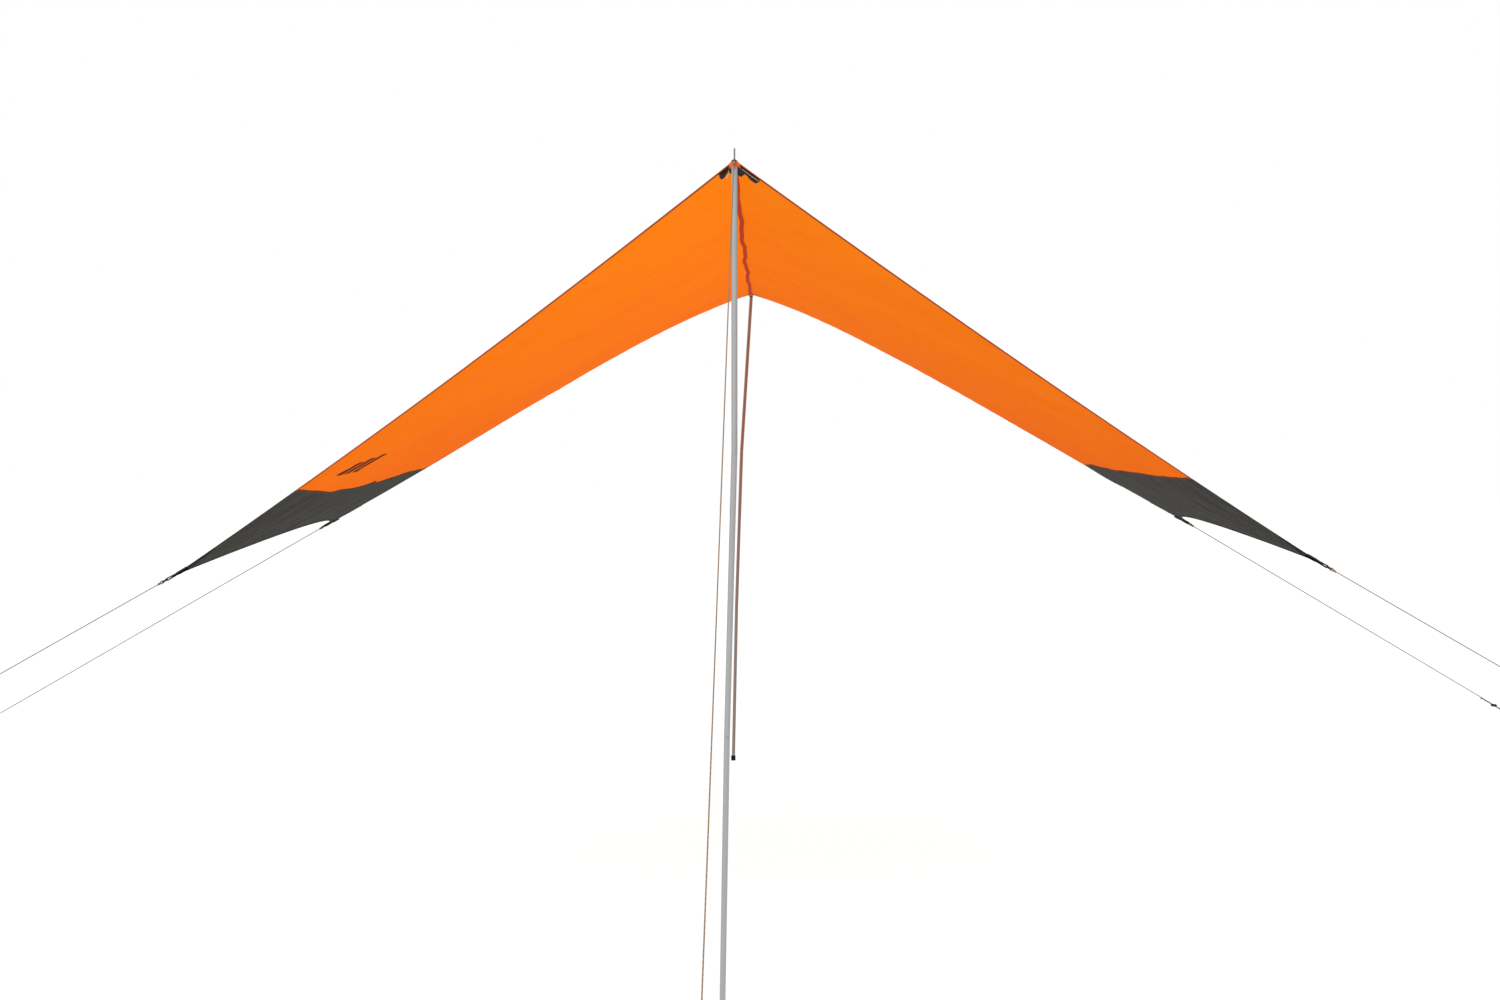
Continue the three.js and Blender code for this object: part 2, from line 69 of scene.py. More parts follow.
def between(a, b, share):
    return a * (1 - share) + b * share


# ---- Driving dimensions, as in the CAD frame ----
POLE_Y = joints["far_pole_swing"]["pos_m"][1]
RIDGE_Z = sum(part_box("eyelet_near")[k].z for k in (0, 1)) / 2
ROOF_SLOPE = math.radians(31.5)
RIDGE_SAG = 0.045
TIP_INSET = 0.036  # the cloth stops this far short of the poles
TIP_LIFT = 0.004  # and rides this much above the eyelets
END_CUTS = {"near_left": 0.150, "near_right": 0.164, "far_left": 0.134, "far_right": 0.145}
SIDE_CUT = 0.162
SIDE_SAG = 0.020
RISES = {  # how far each end edge billows up, a third and two thirds of the way down it
    "near_left": (0.008, 0.002),
    "near_right": (0.010, 0.004),
    "far_left": (0.074, -0.011),
    "far_right": (0.078, -0.002),
}
SEAM = {"near": 0.790, "far": 0.804}  # the roof panel's share of the way down to the side edge
SEAM_BOW = 0.022
CORNER_REACH = 0.057  # from the cloth's corner to where the line is tied
LINE_RADIUS = 0.0015
LOOP_RADIUS = 0.006  # of the line's turn round its peg
LINE_START = 0.0032  # the line begins this far from where it is tied
RUNNER_FROM_PEG = 0.300
TAIL_ABOVE_RUNNER = 0.080
PEG_RADIUS = 0.00325
PEG_BELOW_LINE = 0.160


# ---- The lines' frames: z along the line to the peg, y square to it and upwards, x sideways ----
def line_frame(guy):
    z = unit(joints[f"runner_{guy}_slide"]["axis"])
    y = unit(UP - z * (UP @ z))
    origin = np.array(joints[f"guy_{guy}_swing"]["pos_m"])
    return {"origin": origin, "x": np.cross(y, z), "y": y, "z": z}


def in_frame(f, points):
    """Points given along a line's own x, y and z, in the model's frame."""
    points = np.atleast_2d(np.asarray(points, float))
    return f["origin"] + points @ np.array([f["x"], f["y"], f["z"]])


lines = {guy: line_frame(guy) for guy in GUYS}
for f in lines.values():
    f["length"] = (f["origin"][2] - PEG_BELOW_LINE * f["y"][2]) / -f["z"][2]


def new_object(name, data):
    """An object of the given data, in the scene."""
    made = bpy.data.objects.new(name, data)
    bpy.context.scene.collection.objects.link(made)
    return made


# ---- Camera ----
def add_camera():
    place = Vector((0.0868, -7.3112, 1.5292))
    yaw, pitch, roll = (math.radians(a) for a in (0.628, -1.4348, 0.6684))
    turn = (
        Matrix.Rotation(yaw, 3, "Z")
        @ Matrix.Rotation(math.pi / 2 + pitch, 3, "X")
        @ Matrix.Rotation(-roll, 3, "Z")
    )
    data = bpy.data.cameras.new("camera")
    data.lens = 46.18
    data.clip_end = 100
    camera = new_object("camera", data)
    camera.matrix_world = Matrix.Translation(place) @ turn.to_4x4()
    bpy.context.scene.camera = camera


add_camera()


# ---- Materials ----
class Nodes:
    """A node tree, with short calls to add nodes to it."""

    def __init__(self, tree):
        self.tree = tree

    def put(self, socket, value):
        if isinstance(value, bpy.types.NodeSocket):
            self.tree.links.new(value, socket)
        else:
            socket.default_value = (*value, 1) if socket.type == "RGBA" else value

    def add(self, kind, settings=None, **inputs):
        node = self.tree.nodes.new(kind)
        for key, value in (settings or {}).items():
            setattr(node, key, value)
        for key, value in inputs.items():
            self.put(node.inputs[key.replace("_", " ")], value)
        return node

    def math(self, operation, a, b=0.0, c=0.0):
        node = self.tree.nodes.new("ShaderNodeMath")
        node.operation = operation
        for socket, value in zip(node.inputs, (a, b, c)):
            self.put(socket, value)
        return node.outputs[0]

    def times(self, a, b):
        return self.math("MULTIPLY", a, b)

    def dot(self, vector, direction):
        node = self.add("ShaderNodeVectorMath", {"operation": "DOT_PRODUCT"})
        self.put(node.inputs[0], vector)
        self.put(node.inputs[1], direction)
        return node.outputs["Value"]

    def mix_shaders(self, share, a, b):
        node = self.add("ShaderNodeMixShader", Fac=share)
        self.put(node.inputs[1], a)
        self.put(node.inputs[2], b)
        return node.outputs[0]


class Shade(Nodes):
    """A material's nodes, around its main surface."""

    def __init__(self, name, color, roughness, metallic=0.0, shine=0.5):
        self.material = bpy.data.materials.new(name)
        self.material.use_nodes = True
        self.material.diffuse_color = (*color, 1)
        super().__init__(self.material.node_tree)
        self.surface = self.tree.nodes["Principled BSDF"]
        self.color(color)
        self.roughness(roughness)
        self.put(self.surface.inputs["Metallic"], metallic)
        self.put(self.surface.inputs["Specular IOR Level"], shine)

    def color(self, value):
        self.put(self.surface.inputs["Base Color"], value)

    def roughness(self, value):
        self.put(self.surface.inputs["Roughness"], value)

    def uv(self):
        """The two UV coordinates, in metres: along the piece, and across it."""
        parts = self.add("ShaderNodeSeparateXYZ", Vector=self.add("ShaderNodeUVMap").outputs[0])
        return parts.outputs[0], parts.outputs[1]

    def place(self):
        return self.add("ShaderNodeTexCoord").outputs["Object"]

    def noise(self, scale, detail=3.0, vector=None):
        vector = vector or self.place()
        return self.add("ShaderNodeTexNoise", Vector=vector, Scale=scale, Detail=detail).outputs[0]

    def mix(self, share, a, b):
        node = self.add("ShaderNodeMix", {"data_type": "RGBA"})
        self.put(node.inputs[0], share)
        self.put(node.inputs[6], a)
        self.put(node.inputs[7], b)
        return node.outputs[2]

    def spread(self, value, low, high):
        """Maps a 0 to 1 value onto a range."""
        return self.add("ShaderNodeMapRange", Value=value, To_Min=low, To_Max=high).outputs[0]

    def bump(self, height, distance, strength):
        node = self.add("ShaderNodeBump", Height=height, Distance=distance, Strength=strength)
        self.put(self.surface.inputs["Normal"], node.outputs[0])
        return node.outputs[0]

    def wave(self, value, pitch):
        """A sine over each pitch."""
        return self.math("SINE", self.times(value, 2 * math.pi / pitch))

    def stripe(self, value, pitch, share):
        """1 over the first share of each pitch."""
        return self.math("LESS_THAN", self.math("FRACT", self.math("DIVIDE", value, pitch)), share)

    def near(self, value, middle, half):
        """1 where a value lies within half of the middle."""
        return self.math("COMPARE", value, middle, half)


def scaled(color, factor):
    return tuple(c * factor for c in color)


CLOTH_THREAD, CLOTH_GRID, GRID_SHARE = 0.0009, 0.0055, 0.12  # the weave, and the heavier threads in it
CLOTH_LIGHT_RISE, CLOTH_LIGHT_LEVEL = (0.0, -0.11, 0.45), 0.46  # painted light: the colour is made lighter higher up and towards the near end, where more light falls


def coated_cloth(name, color, deep_and_shaded, see_through, shine=0.06):
    """Coated ripstop: a fine weave with a heavier thread every few millimetres."""
    s = Shade(name, color, 0.75, shine=shine)
    along, across = s.uv()
    weave = s.times(s.wave(along, CLOTH_THREAD), s.wave(across, CLOTH_THREAD))
    ribs = s.math("MAXIMUM", *(s.stripe(way, CLOTH_GRID, GRID_SHARE) for way in (along, across)))
    # Painted light: the mix leans to the lighter colour higher up and towards the near end, on top of random
    # tone
    rise = s.math("SUBTRACT", s.dot(s.place(), CLOTH_LIGHT_RISE), CLOTH_LIGHT_LEVEL)
    tint = s.mix(s.math("MULTIPLY_ADD", s.noise(2.2, 4.0), 0.3, rise), deep_and_shaded, color)
    tint = s.mix(s.times(ribs, 0.08), tint, scaled(deep_and_shaded, 0.75))
    s.color(tint)
    s.roughness(s.spread(s.noise(9.0), 0.65, 0.85))
    grain = s.math("ADD", s.times(weave, 0.35), s.times(ribs, 0.8))
    creases = s.add("ShaderNodeTexNoise", Vector=s.place(), Scale=4.0, Detail=2.5, Distortion=0.5).outputs[0]
    rucks = s.add("ShaderNodeBump", Height=creases, Distance=0.04, Strength=0.7).outputs[0]
    normal = s.bump(grain, 0.00012, 0.5)
    s.put(normal.node.inputs["Normal"], rucks)
    through = s.add("ShaderNodeBsdfTranslucent", Color=tint, Normal=normal)
    both = s.mix_shaders(see_through, s.surface.outputs[0], through.outputs[0])
    s.put(s.tree.nodes["Material Output"].inputs[0], both)
    return s.material


def stitched_tape(name, color, thread, rows, half_width):
    """Woven tape with rows of stitching; UVs run along it and across it from its middle."""
    s = Shade(name, color, 0.85, shine=0.08)
    along, across = s.uv()
    rib_pitch, thread_pitch = 0.0011, 0.0014
    stitch_pitch, stitch_share, stitch_half = 0.0042, 0.72, 0.00045
    row = s.near(across, rows[0], stitch_half)
    for place in rows[1:]:
        row = s.math("MAXIMUM", row, s.near(across, place, stitch_half))
    stitch = s.times(s.stripe(along, stitch_pitch, stitch_share), row)
    # The tape's colour is made lighter along its edges
    pale_edges = s.math("GREATER_THAN", s.math("ABSOLUTE", across), half_width * 0.86)
    tint = s.mix(s.noise(60.0), scaled(color, 0.8), scaled(color, 1.2))
    tint = s.mix(s.times(pale_edges, 0.25), tint, scaled(color, 1.6))
    s.color(s.mix(stitch, tint, thread))
    weave = s.times(s.math("ADD", s.wave(along, rib_pitch), s.wave(across, thread_pitch)), 0.25)
    s.bump(s.math("ADD", weave, s.times(stitch, 1.6)), 0.0003, 0.8)
    return s.material


def drawn_metal(name, color, roughness, low=None):
    """Drawn tube or rod: streaks along its length and faint blotches. low is the colour it fades to near the
    ground, where a painted reflection is weaker.
    """
    s = Shade(name, color, roughness, 1.0)
    streak, low_end, low_start = 0.12, 0.5, 1.7
    stretch = s.add("ShaderNodeMapping", Vector=s.place(), Scale=(260.0, 260.0, 5.0))
    streaks = s.noise(1.0, 4.0, stretch.outputs[0])
    blotches = s.noise(14.0, 5.0)
    tint = s.mix(streaks, scaled(color, 1 - streak), scaled(color, 1 + streak))
    tint = s.mix(s.times(blotches, 0.25), tint, scaled(color, 0.72))
    # painted reflection: the colour fades to the low one towards the ground
    if low:
        height = s.add("ShaderNodeSeparateXYZ", Vector=s.place()).outputs[2]
        rise = s.add("ShaderNodeMapRange", Value=height, From_Min=low_end, From_Max=low_start).outputs[0]
        tint = s.mix(rise, low, tint)
    s.color(tint)
    s.roughness(s.spread(streaks, roughness - 0.08, roughness + 0.12))
    s.bump(streaks, 0.00008, 0.5)
    return s.material


def moulded(name, color, roughness, shine):
    """Moulded plastic, rubber or ink: a fine grain, with soft blotches in its colour and its gloss."""
    s = Shade(name, color, roughness, shine=shine)
    s.color(s.mix(s.noise(40.0), scaled(color, 0.8), scaled(color, 1.5)))
    s.roughness(s.spread(s.noise(55.0), roughness - 0.1, roughness + 0.12))
    s.bump(s.noise(900.0, 2.0), 0.0002, 0.4)
    return s.material


def braided(name, color, fleck):
    """Braided cord; UVs run along it and round it, 0 to 1."""
    s = Shade(name, color, 0.75, shine=0.15)
    along, round_it = s.uv()
    lay, strands_round, fleck_pitch = 0.003, 4.0, 0.012
    crossing = []
    for sign in ("ADD", "SUBTRACT"):
        phase = s.math(sign, s.times(round_it, strands_round), s.math("DIVIDE", along, lay))
        crossing.append(s.math("ABSOLUTE", s.wave(phase, 2.0)))
    strands = s.math("MINIMUM", *crossing)
    flecks = s.times(s.stripe(along, fleck_pitch, 0.25), s.math("GREATER_THAN", strands, 0.45))
    # Painted shade: the colour darkens in the grooves between the strands
    tint = s.mix(strands, scaled(color, 0.75), scaled(color, 1.1))
    s.color(s.mix(flecks, tint, fleck))
    s.bump(strands, 0.0004, 0.8)
    return s.material


DARK = (0.031, 0.030, 0.0245)
orange_cloth = coated_cloth("orange_cloth", (0.86, 0.203, 0.002), (0.72, 0.094, 0.002), 0.5, 0.02)
dark_cloth = coated_cloth("dark_cloth", DARK, scaled(DARK, 0.88), 0.08)
patch_cloth = coated_cloth("patch_cloth", (0.012, 0.007, 0.006), (0.008, 0.006, 0.005), 0.02)
cap_cloth = coated_cloth("cap_cloth", (0.80, 0.19, 0.065), (0.72, 0.16, 0.05), 0.3)
hem_tape = stitched_tape("hem_tape", (0.33, 0.045, 0.010), (0.10, 0.02, 0.008), (-0.003, 0.003), 0.0075)
dark_tape = stitched_tape("dark_tape", (0.030, 0.028, 0.025), (0.012, 0.012, 0.012), (-0.003, 0.003), 0.0075)
seam_tape = stitched_tape("seam_tape", (0.52, 0.045, 0.006), (0.25, 0.03, 0.008), (-0.0035, 0.0035), 0.007)
joining_tape = stitched_tape("joining_tape", (0.09, 0.022, 0.010), (0.30, 0.07, 0.02), (-0.003, 0.003), 0.006)
webbing = stitched_tape("webbing", (0.012, 0.011, 0.010), (0.05, 0.05, 0.05), (-0.009, 0.009), 0.0125)
pale_webbing = stitched_tape("pale_webbing", (0.80, 0.62, 0.44), (0.45, 0.35, 0.25), (0.0,), 0.003)
near_steel = drawn_metal("near_steel", (0.41, 0.41, 0.41), 0.40)
# Painted reflection and shade: the far pole is grey steel; its brown is the orange tarp reflected in the
# shade under it, weaker near the ground
far_steel_painted_reflection = drawn_metal("far_steel_painted_reflection", (0.36, 0.205, 0.155), 0.45, low=(0.27, 0.225, 0.195))
bright_steel = drawn_metal("bright_steel", (0.22, 0.22, 0.22), 0.32)
brass = drawn_metal("brass", (0.48, 0.30, 0.10), 0.30)
black_plastic = moulded("black_plastic", (0.012, 0.012, 0.013), 0.45, 0.2)
black_rubber = moulded("black_rubber", (0.006, 0.006, 0.006), 0.7, 0.1)
orange_cord = braided("orange_cord", (0.27, 0.175, 0.10), (0.47, 0.34, 0.22))
grey_cord = braided("grey_cord", (0.045, 0.043, 0.041), (0.16, 0.15, 0.15))
mark_ink = moulded("mark_ink", (0.11, 0.020, 0.006), 0.9, 0.05)


# ---- Meshes ----
def add_piece(name, points, faces, material, body, slot, uvs=None, node=None):
    """A piece in the place of a CAD node, if any. uvs holds one pair for each corner of each face."""
    mesh = bpy.data.meshes.new(name)
    mesh.from_pydata([tuple(p) for p in points], [], [tuple(f) for f in faces])
    mesh.materials.append(material)
    if uvs is not None:
        layer = mesh.uv_layers.new(name="UVMap")
        layer.data.foreach_set("uv", np.asarray(uvs, np.float32).ravel())
    mesh.shade_smooth()
    mesh.validate()
    piece = new_object(name, mesh)
    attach(piece, body)
    if node:
        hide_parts(node)
    return piece


def lengths_along(path):
    steps = np.linalg.norm(np.diff(path, axis=0), axis=1)
    return np.concatenate([[0.0], np.cumsum(steps)])


def grid_faces(rows, columns, close_columns=False, close_rows=False):
    """Faces of a grid of points, which may close on itself either way."""
    faces = []
    for i in range(rows if close_rows else rows - 1):
        for j in range(columns if close_columns else columns - 1):
            k, n = (j + 1) % columns, (i + 1) % rows
            faces.append((i * columns + j, i * columns + k, n * columns + k, n * columns + j))
    return faces


def sweep(path, across, normal, profile, marks):
    """A closed profile of (across, normal) offsets carried along a path, with flat ends.

    Returns points, faces and UVs: metres along the path, and the profile's marks. There is a mark for each
    point of the profile, and one more where it closes.
    """
    x, y = profile.T[:, None, :, None]
    points = (path[:, None] + x * across[:, None] + y * normal[:, None]).reshape(-1, 3)
    rows, columns = len(path), len(profile)
    faces = grid_faces(rows, columns, close_columns=True)
    along = lengths_along(path)
    uvs = []
    for start, end in zip(along, along[1:]):
        for low, high in zip(marks, marks[1:]):
            uvs += [(start, low), (start, high), (end, high), (end, low)]
    for row, way in ((0, -1), (rows - 1, 1)):
        cap = range(columns)[::way]
        faces.append(tuple(row * columns + j for j in cap))
        uvs += [(along[row], marks[j]) for j in cap]
    return points, faces, uvs


def swept(path, across, normal, profile):
    """A strap or tape, its faces turned outwards, with its UVs in metres."""
    path, profile = np.asarray(path), np.asarray(profile)
    across = np.broadcast_to(across, path.shape)
    normal = np.broadcast_to(normal, path.shape)
    x, y = profile.T
    area = (x * np.roll(y, -1) - y * np.roll(x, -1)).sum()
    if area * (np.cross(across, normal) * np.gradient(path, axis=0)).sum() < 0:
        profile = profile[::-1]
    return sweep(path, across, normal, profile, [*profile[:, 0], profile[0, 0]])


def strap_profile(half_width, half_thickness, low=None):
    """A flat strap's section, with its corners taken off."""
    low = -half_width if low is None else low
    t, bevel = half_thickness, half_thickness * 0.6
    lower = [(low, -t + bevel), (low + bevel, -t), (half_width - bevel, -t), (half_width, -t + bevel)]
    return lower + [(x, -y) for x, y in lower[::-1]]


def round_frames(path, start):
    """Sideways and upward directions that turn as little as they can along a path."""
    ahead = unit(np.gradient(path, axis=0))
    sideways = []
    side = np.asarray(start, float)
    for direction in ahead:
        side = unit(side - direction * (side @ direction))
        sideways.append(side)
    sideways = np.array(sideways)
    return sideways, np.cross(ahead, sideways)


def circle(sides):
    angles = np.arange(sides) * 2 * math.pi / sides
    return np.stack([np.cos(angles), np.sin(angles)], axis=1)


def tube(path, radius, sides, start):
    """A round tube along a path, with closed ends. radius may be one number for each point."""
    path = np.asarray(path)
    side, up = round_frames(path, start)
    radius = np.broadcast_to(radius, (len(path),))[:, None]
    return sweep(path, side * radius, up * radius, circle(sides), np.linspace(0, 1, sides + 1))


def closed_tube(path, up, radius, sides):
    """A round tube along a closed flat path."""
    path = np.asarray(path)
    ahead = unit(np.roll(path, -1, axis=0) - np.roll(path, 1, axis=0))
    out = np.cross(ahead, up)
    c, s = circle(sides).T[:, None, :, None]
    points = (path[:, None] + radius * (c * out[:, None] + s * up)).reshape(-1, 3)
    return points, grid_faces(len(path), sides, close_columns=True, close_rows=True)


def turned(outline, sides):
    """A solid of revolution about Z, from (radius, height) points that close on the axis or on themselves."""
    on_axis = outline[0][0] == 0
    body = outline[1:-1] if on_axis else outline
    points = [(r * c, r * s, z) for r, z in body for c, s in circle(sides)]
    faces = grid_faces(len(body), sides, close_columns=True, close_rows=not on_axis)
    if on_axis:
        for tip, row in ((outline[0], 0), (outline[-1], len(body) - 1)):
            points.append((0, 0, tip[1]))
            for j in range(sides):
                faces.append((len(points) - 1, row * sides + j, row * sides + (j + 1) % sides))
    return np.array(points, float), faces


def oriented(points, origin, axis):
    """Points about Z moved to an origin, with Z along an axis."""
    turn = Vector((0, 0, 1)).rotation_difference(Vector(axis)).to_matrix()
    return np.asarray(points) @ np.array(turn).T + np.asarray(origin)


def outward(piece):
    """Makes a closed piece's faces all point out."""
    mesh = bmesh.new()
    mesh.from_mesh(piece.data)
    bmesh.ops.recalc_face_normals(mesh, faces=mesh.faces)
    mesh.to_mesh(piece.data)
    mesh.free()
    return piece


def crisp(piece, degrees=35):
    """Smooth shading with sharp edges kept sharp."""
    piece.data.set_sharp_from_angle(angle=math.radians(degrees))
    return piece


# ---- Cords: the guy lines come first ----
def path_end(f):
    """How far down the line its tail ends, above the runner."""
    return f["length"] - RUNNER_FROM_PEG - TAIL_ABOVE_RUNNER


def line_points(f):
    """Down to the peg, round it, and back up through the runner to the stopper knot."""
    length = f["length"]
    down = [(0, 0, z) for z in np.linspace(LINE_START, length, 60)[:-1]]
    angles = np.linspace(math.pi, 0, 13)
    turn = [(LOOP_RADIUS * (1 + math.cos(a)), 0, length + LOOP_RADIUS * math.sin(a)) for a in angles]
    back = [(2 * LOOP_RADIUS, 0, z) for z in np.linspace(length, path_end(f), 14)[1:]]
    return in_frame(f, down + turn + back)


def knot(start, f, turns=3, size=0.0027):
    """A few tight wraps of the line round its own direction, as one tube."""
    points = []
    steps = 12 * turns
    for i in range(steps + 1):
        angle = 2 * math.pi * i / 12
        swell = size * (0.75 + 0.25 * math.sin(math.pi * i / steps))
        around = math.cos(angle) * f["x"] + math.sin(angle) * f["y"]
        points.append(start + f["z"] * (i / steps) * turns * 2.1 * LINE_RADIUS + swell * around)
    return tube(points, LINE_RADIUS, 8, f["y"])


def line_eye(f):
    """The line's small loop round the link's wire, above the knot, as points and faces."""
    half_width, half_length, middle = 0.0045, 0.0060, 0.0018
    path = [(0, half_width * s, middle + half_length * c) for c, s in circle(24)]
    return closed_tube(in_frame(f, path), f["x"], LINE_RADIUS, 8)


def add_guy(guy):
    f = lines[guy]
    material, slot = (grey_cord, "grey_line") if guy.startswith("far") else (orange_cord, "orange_line")
    body = f"guy_{guy}"
    path = line_points(f)

    def add_strand(name, shape):
        points, faces, uvs = shape
        return add_piece(f"{name}_{guy}", points, faces, material, body, slot, uvs)

    line = add_strand("line", tube(path, LINE_RADIUS, 10, f["x"]))
    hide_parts(f"guy_line_{guy}")
    tie, stop = in_frame(f, [(0, 0, LINE_START + 0.0045), (2 * LOOP_RADIUS, 0, path_end(f) - 0.004)])
    knots = [
        add_strand("line_knot", knot(tie, f)),
        add_strand("line_stopper", knot(stop, f, 2, 0.00225)),
        add_piece(f"line_eye_{guy}", *line_eye(f), material, body, slot),
    ]


for guy in GUYS:
    add_guy(guy)


# ---- The tarp's surface: each half is a patch between its four edges ----
def cloth_corner(name):
    f = lines[name]
    return f["origin"] - f["z"] * CORNER_REACH


BOW = 4 / 3  # a cubic's two middle points stand this much further out than its own middle


def bezier(a, b, c, d, t):
    t = np.asarray(t, float)[..., None]
    return (1 - t) ** 3 * a + 3 * (1 - t) ** 2 * t * b + 3 * (1 - t) * t**2 * c + t**3 * d


def apex(end):
    return np.array([0.0, ENDS[end] * (POLE_Y - TIP_INSET), RIDGE_Z + TIP_LIFT])


def end_edge(side, end, s):
    name = f"{end}_{side}"
    tip, corner = apex(end), cloth_corner(name)
    along = corner - tip
    inward = np.array([0.0, -ENDS[end], 0.0])
    inward = unit(inward - unit(along) * (inward @ unit(along)))
    controls = []
    for share, rise in zip((1 / 3, 2 / 3), RISES[name]):
        controls.append(tip + along * share + (inward * END_CUTS[name] + UP * rise) * BOW)
    return bezier(tip, *controls, corner, s)


def side_edge(side, t):
    near, far = cloth_corner(f"near_{side}"), cloth_corner(f"far_{side}")
    inward = np.array([-SIDES[side] * math.cos(ROOF_SLOPE), 0.0, math.sin(ROOF_SLOPE)])
    pull = (inward * SIDE_CUT - UP * SIDE_SAG) * BOW
    return bezier(near, near + (far - near) / 3 + pull, near + (far - near) * 2 / 3 + pull, far, t)


def ridge_line(t):
    t = np.asarray(t, float)[..., None]
    waver = 0.0035 * np.sin(2 * math.pi * 5.3 * t) + 0.0016 * np.sin(2 * math.pi * 13 * t + 1)
    bow = 4 * t * (1 - t)
    return between(apex("near"), apex("far"), t) + bow * (waver * np.array([1.0, 0.0, 0.0]) - RIDGE_SAG * UP)


def half_surface(side, s, t):
    """Coons patch: s from the ridge to the side edge, t from the near end to the far end."""
    s, t = np.broadcast_arrays(np.asarray(s, float), np.asarray(t, float))
    S, T = s[..., None], t[..., None]
    across = between(end_edge(side, "near", s), end_edge(side, "far", s), T)
    along = between(ridge_line(t), side_edge(side, t), S)
    top = between(apex("near"), apex("far"), T)
    bottom = between(cloth_corner(f"near_{side}"), cloth_corner(f"far_{side}"), T)
    return across + along - between(top, bottom, S)


def seam_share(side, t):
    """The seam's place down the slope: a shallow bow that wanders a little, lower on the left."""
    bow = between(SEAM["near"], SEAM["far"], t) + SEAM_BOW * 4 * t * (1 - t)
    wander = 0.0035 * np.sin(2 * math.pi * 2.3 * t + 0.8) + 0.0012 * np.sin(2 * math.pi * 7 * t)
    low, middle, spread = (0.033, 0.30, 0.32) if side == "left" else (0.006, 0.30, 0.22)
    sag = low * np.exp(-(((t - middle) / spread) ** 2))
    pucker = 0.011 * np.exp(-(((t - 0.44) / 0.022) ** 2)) if side == "left" else 0.0
    return bow + (wander + sag - pucker) * np.minimum(6 * t * (1 - t), 1.0)


ROOF_STEPS, SIDE_STEPS, LONG_STEPS = 56, 16, 128  # the grid: ridge to seam, seam to side, near to far


def start_grid(side):
    t = np.linspace(0, 1, LONG_STEPS + 1)
    seam = seam_share(side, t)
    shares = [seam * i / ROOF_STEPS for i in range(ROOF_STEPS)]
    shares += [between(seam, 1, i / SIDE_STEPS) for i in range(SIDE_STEPS + 1)]
    return np.array([half_surface(side, s, t) for s in shares])


# ---- Cloth simulation: the panels settle between their taut edges ----
SETTLE_FRAMES = 26
SETTLE = {
    "quality": 6,
    "mass": 0.03,
    "air_damping": 3,
    "tension_stiffness": 30,
    "compression_stiffness": 20,
    "shear_stiffness": 8,
    "bending_stiffness": 0.02,
    "vertex_group_mass": "held",
    "vertex_group_shrink": "gathered",
    "shrink_min": 0.0,
    "shrink_max": 0.006,
}


def settle(grid):
    """The whole tarp's grid of points after Blender's cloth, held at its edges and ridge."""
    rows, columns = grid.shape[:2]
    mesh = bpy.data.meshes.new("settling")
    mesh.from_pydata(grid.reshape(-1, 3).tolist(), [], grid_faces(rows, columns))
    piece = new_object("settling", mesh)
    places = np.arange(rows * columns).reshape(rows, columns)
    held = [*places[[0, rows // 2, -1]].flat, *places[:, [0, -1]].flat]
    gathered = places[[SIDE_STEPS, -1 - SIDE_STEPS]].flat
    for name, group in (("held", held), ("gathered", gathered)):
        piece.vertex_groups.new(name=name).add([int(v) for v in group], 1.0, "REPLACE")
    cloth = piece.modifiers.new("cloth", "CLOTH")
    for key, value in SETTLE.items():
        setattr(cloth.settings, key, value)
    cloth.settings.effector_weights.gravity = 0.12
    cloth.collision_settings.use_collision = False
    scene = bpy.context.scene
    for spans in (scene, cloth.point_cache):
        spans.frame_start, spans.frame_end = 1, SETTLE_FRAMES
    for number in range(1, SETTLE_FRAMES + 1):
        scene.frame_set(number)
    settled = piece.evaluated_get(bpy.context.evaluated_depsgraph_get()).to_mesh()
    points = np.zeros(len(settled.vertices) * 3, np.float32)
    settled.vertices.foreach_get("co", points)
    scene.frame_set(1)
    bpy.data.objects.remove(piece)
    return points.reshape(rows, columns, 3).astype(float)


FOLD_FADE, FOLD_START = 0.55, 0.30  # how fast the folds die away, and how far out they are whole


def pull_folds(points):
    """Shallow folds that fan out from the places the tarp is pulled by."""
    height = np.zeros(points.shape[:2])
    pulls = [(cloth_corner(name), 23.0, 0.0035) for name in CORNERS]
    pulls += [(apex(end), 15.0, 0.003) for end in ENDS]
    for place, count, size in pulls:
        away = points - place
        distance = np.linalg.norm(away, axis=2)
        angle = np.arctan2(away[..., 1], away[..., 0])
        fade = np.exp(-distance / FOLD_FADE) * np.minimum(distance / FOLD_START, 1.0) ** 2
        height += size * fade * np.sin(count * angle + 1.3 * np.sin(3 * angle))
    return height


CREASES, CREASE_DEPTH = 70, 0.006


def tarp_grids():
    """The settled grid of each half, from the ridge outwards."""
    halves = {side: start_grid(side) for side in SIDES}
    middle = len(halves["left"]) - 1
    whole = np.concatenate([halves["left"][::-1], halves["right"][1:]])
    crease = random.Random(7)
    free = np.ones(whole.shape[:2])
    free[[0, -1, middle]] = 0
    free[:, [0, -1]] = 0
    for _ in range(CREASES):
        i, j = crease.randrange(len(whole)), crease.randrange(whole.shape[1])
        spread_i, spread_j = crease.uniform(2, 6), crease.uniform(3, 12)
        rows, columns = np.ogrid[: whole.shape[0], : whole.shape[1]]
        bell = np.exp(-(((rows - i) / spread_i) ** 2) - ((columns - j) / spread_j) ** 2)
        whole[..., 2] += crease.uniform(-CREASE_DEPTH, CREASE_DEPTH) * bell * free
    whole[..., 2] += pull_folds(whole) * free
    whole = settle(whole)
    return {"left": whole[middle::-1], "right": whole[middle:]}


grids = tarp_grids()


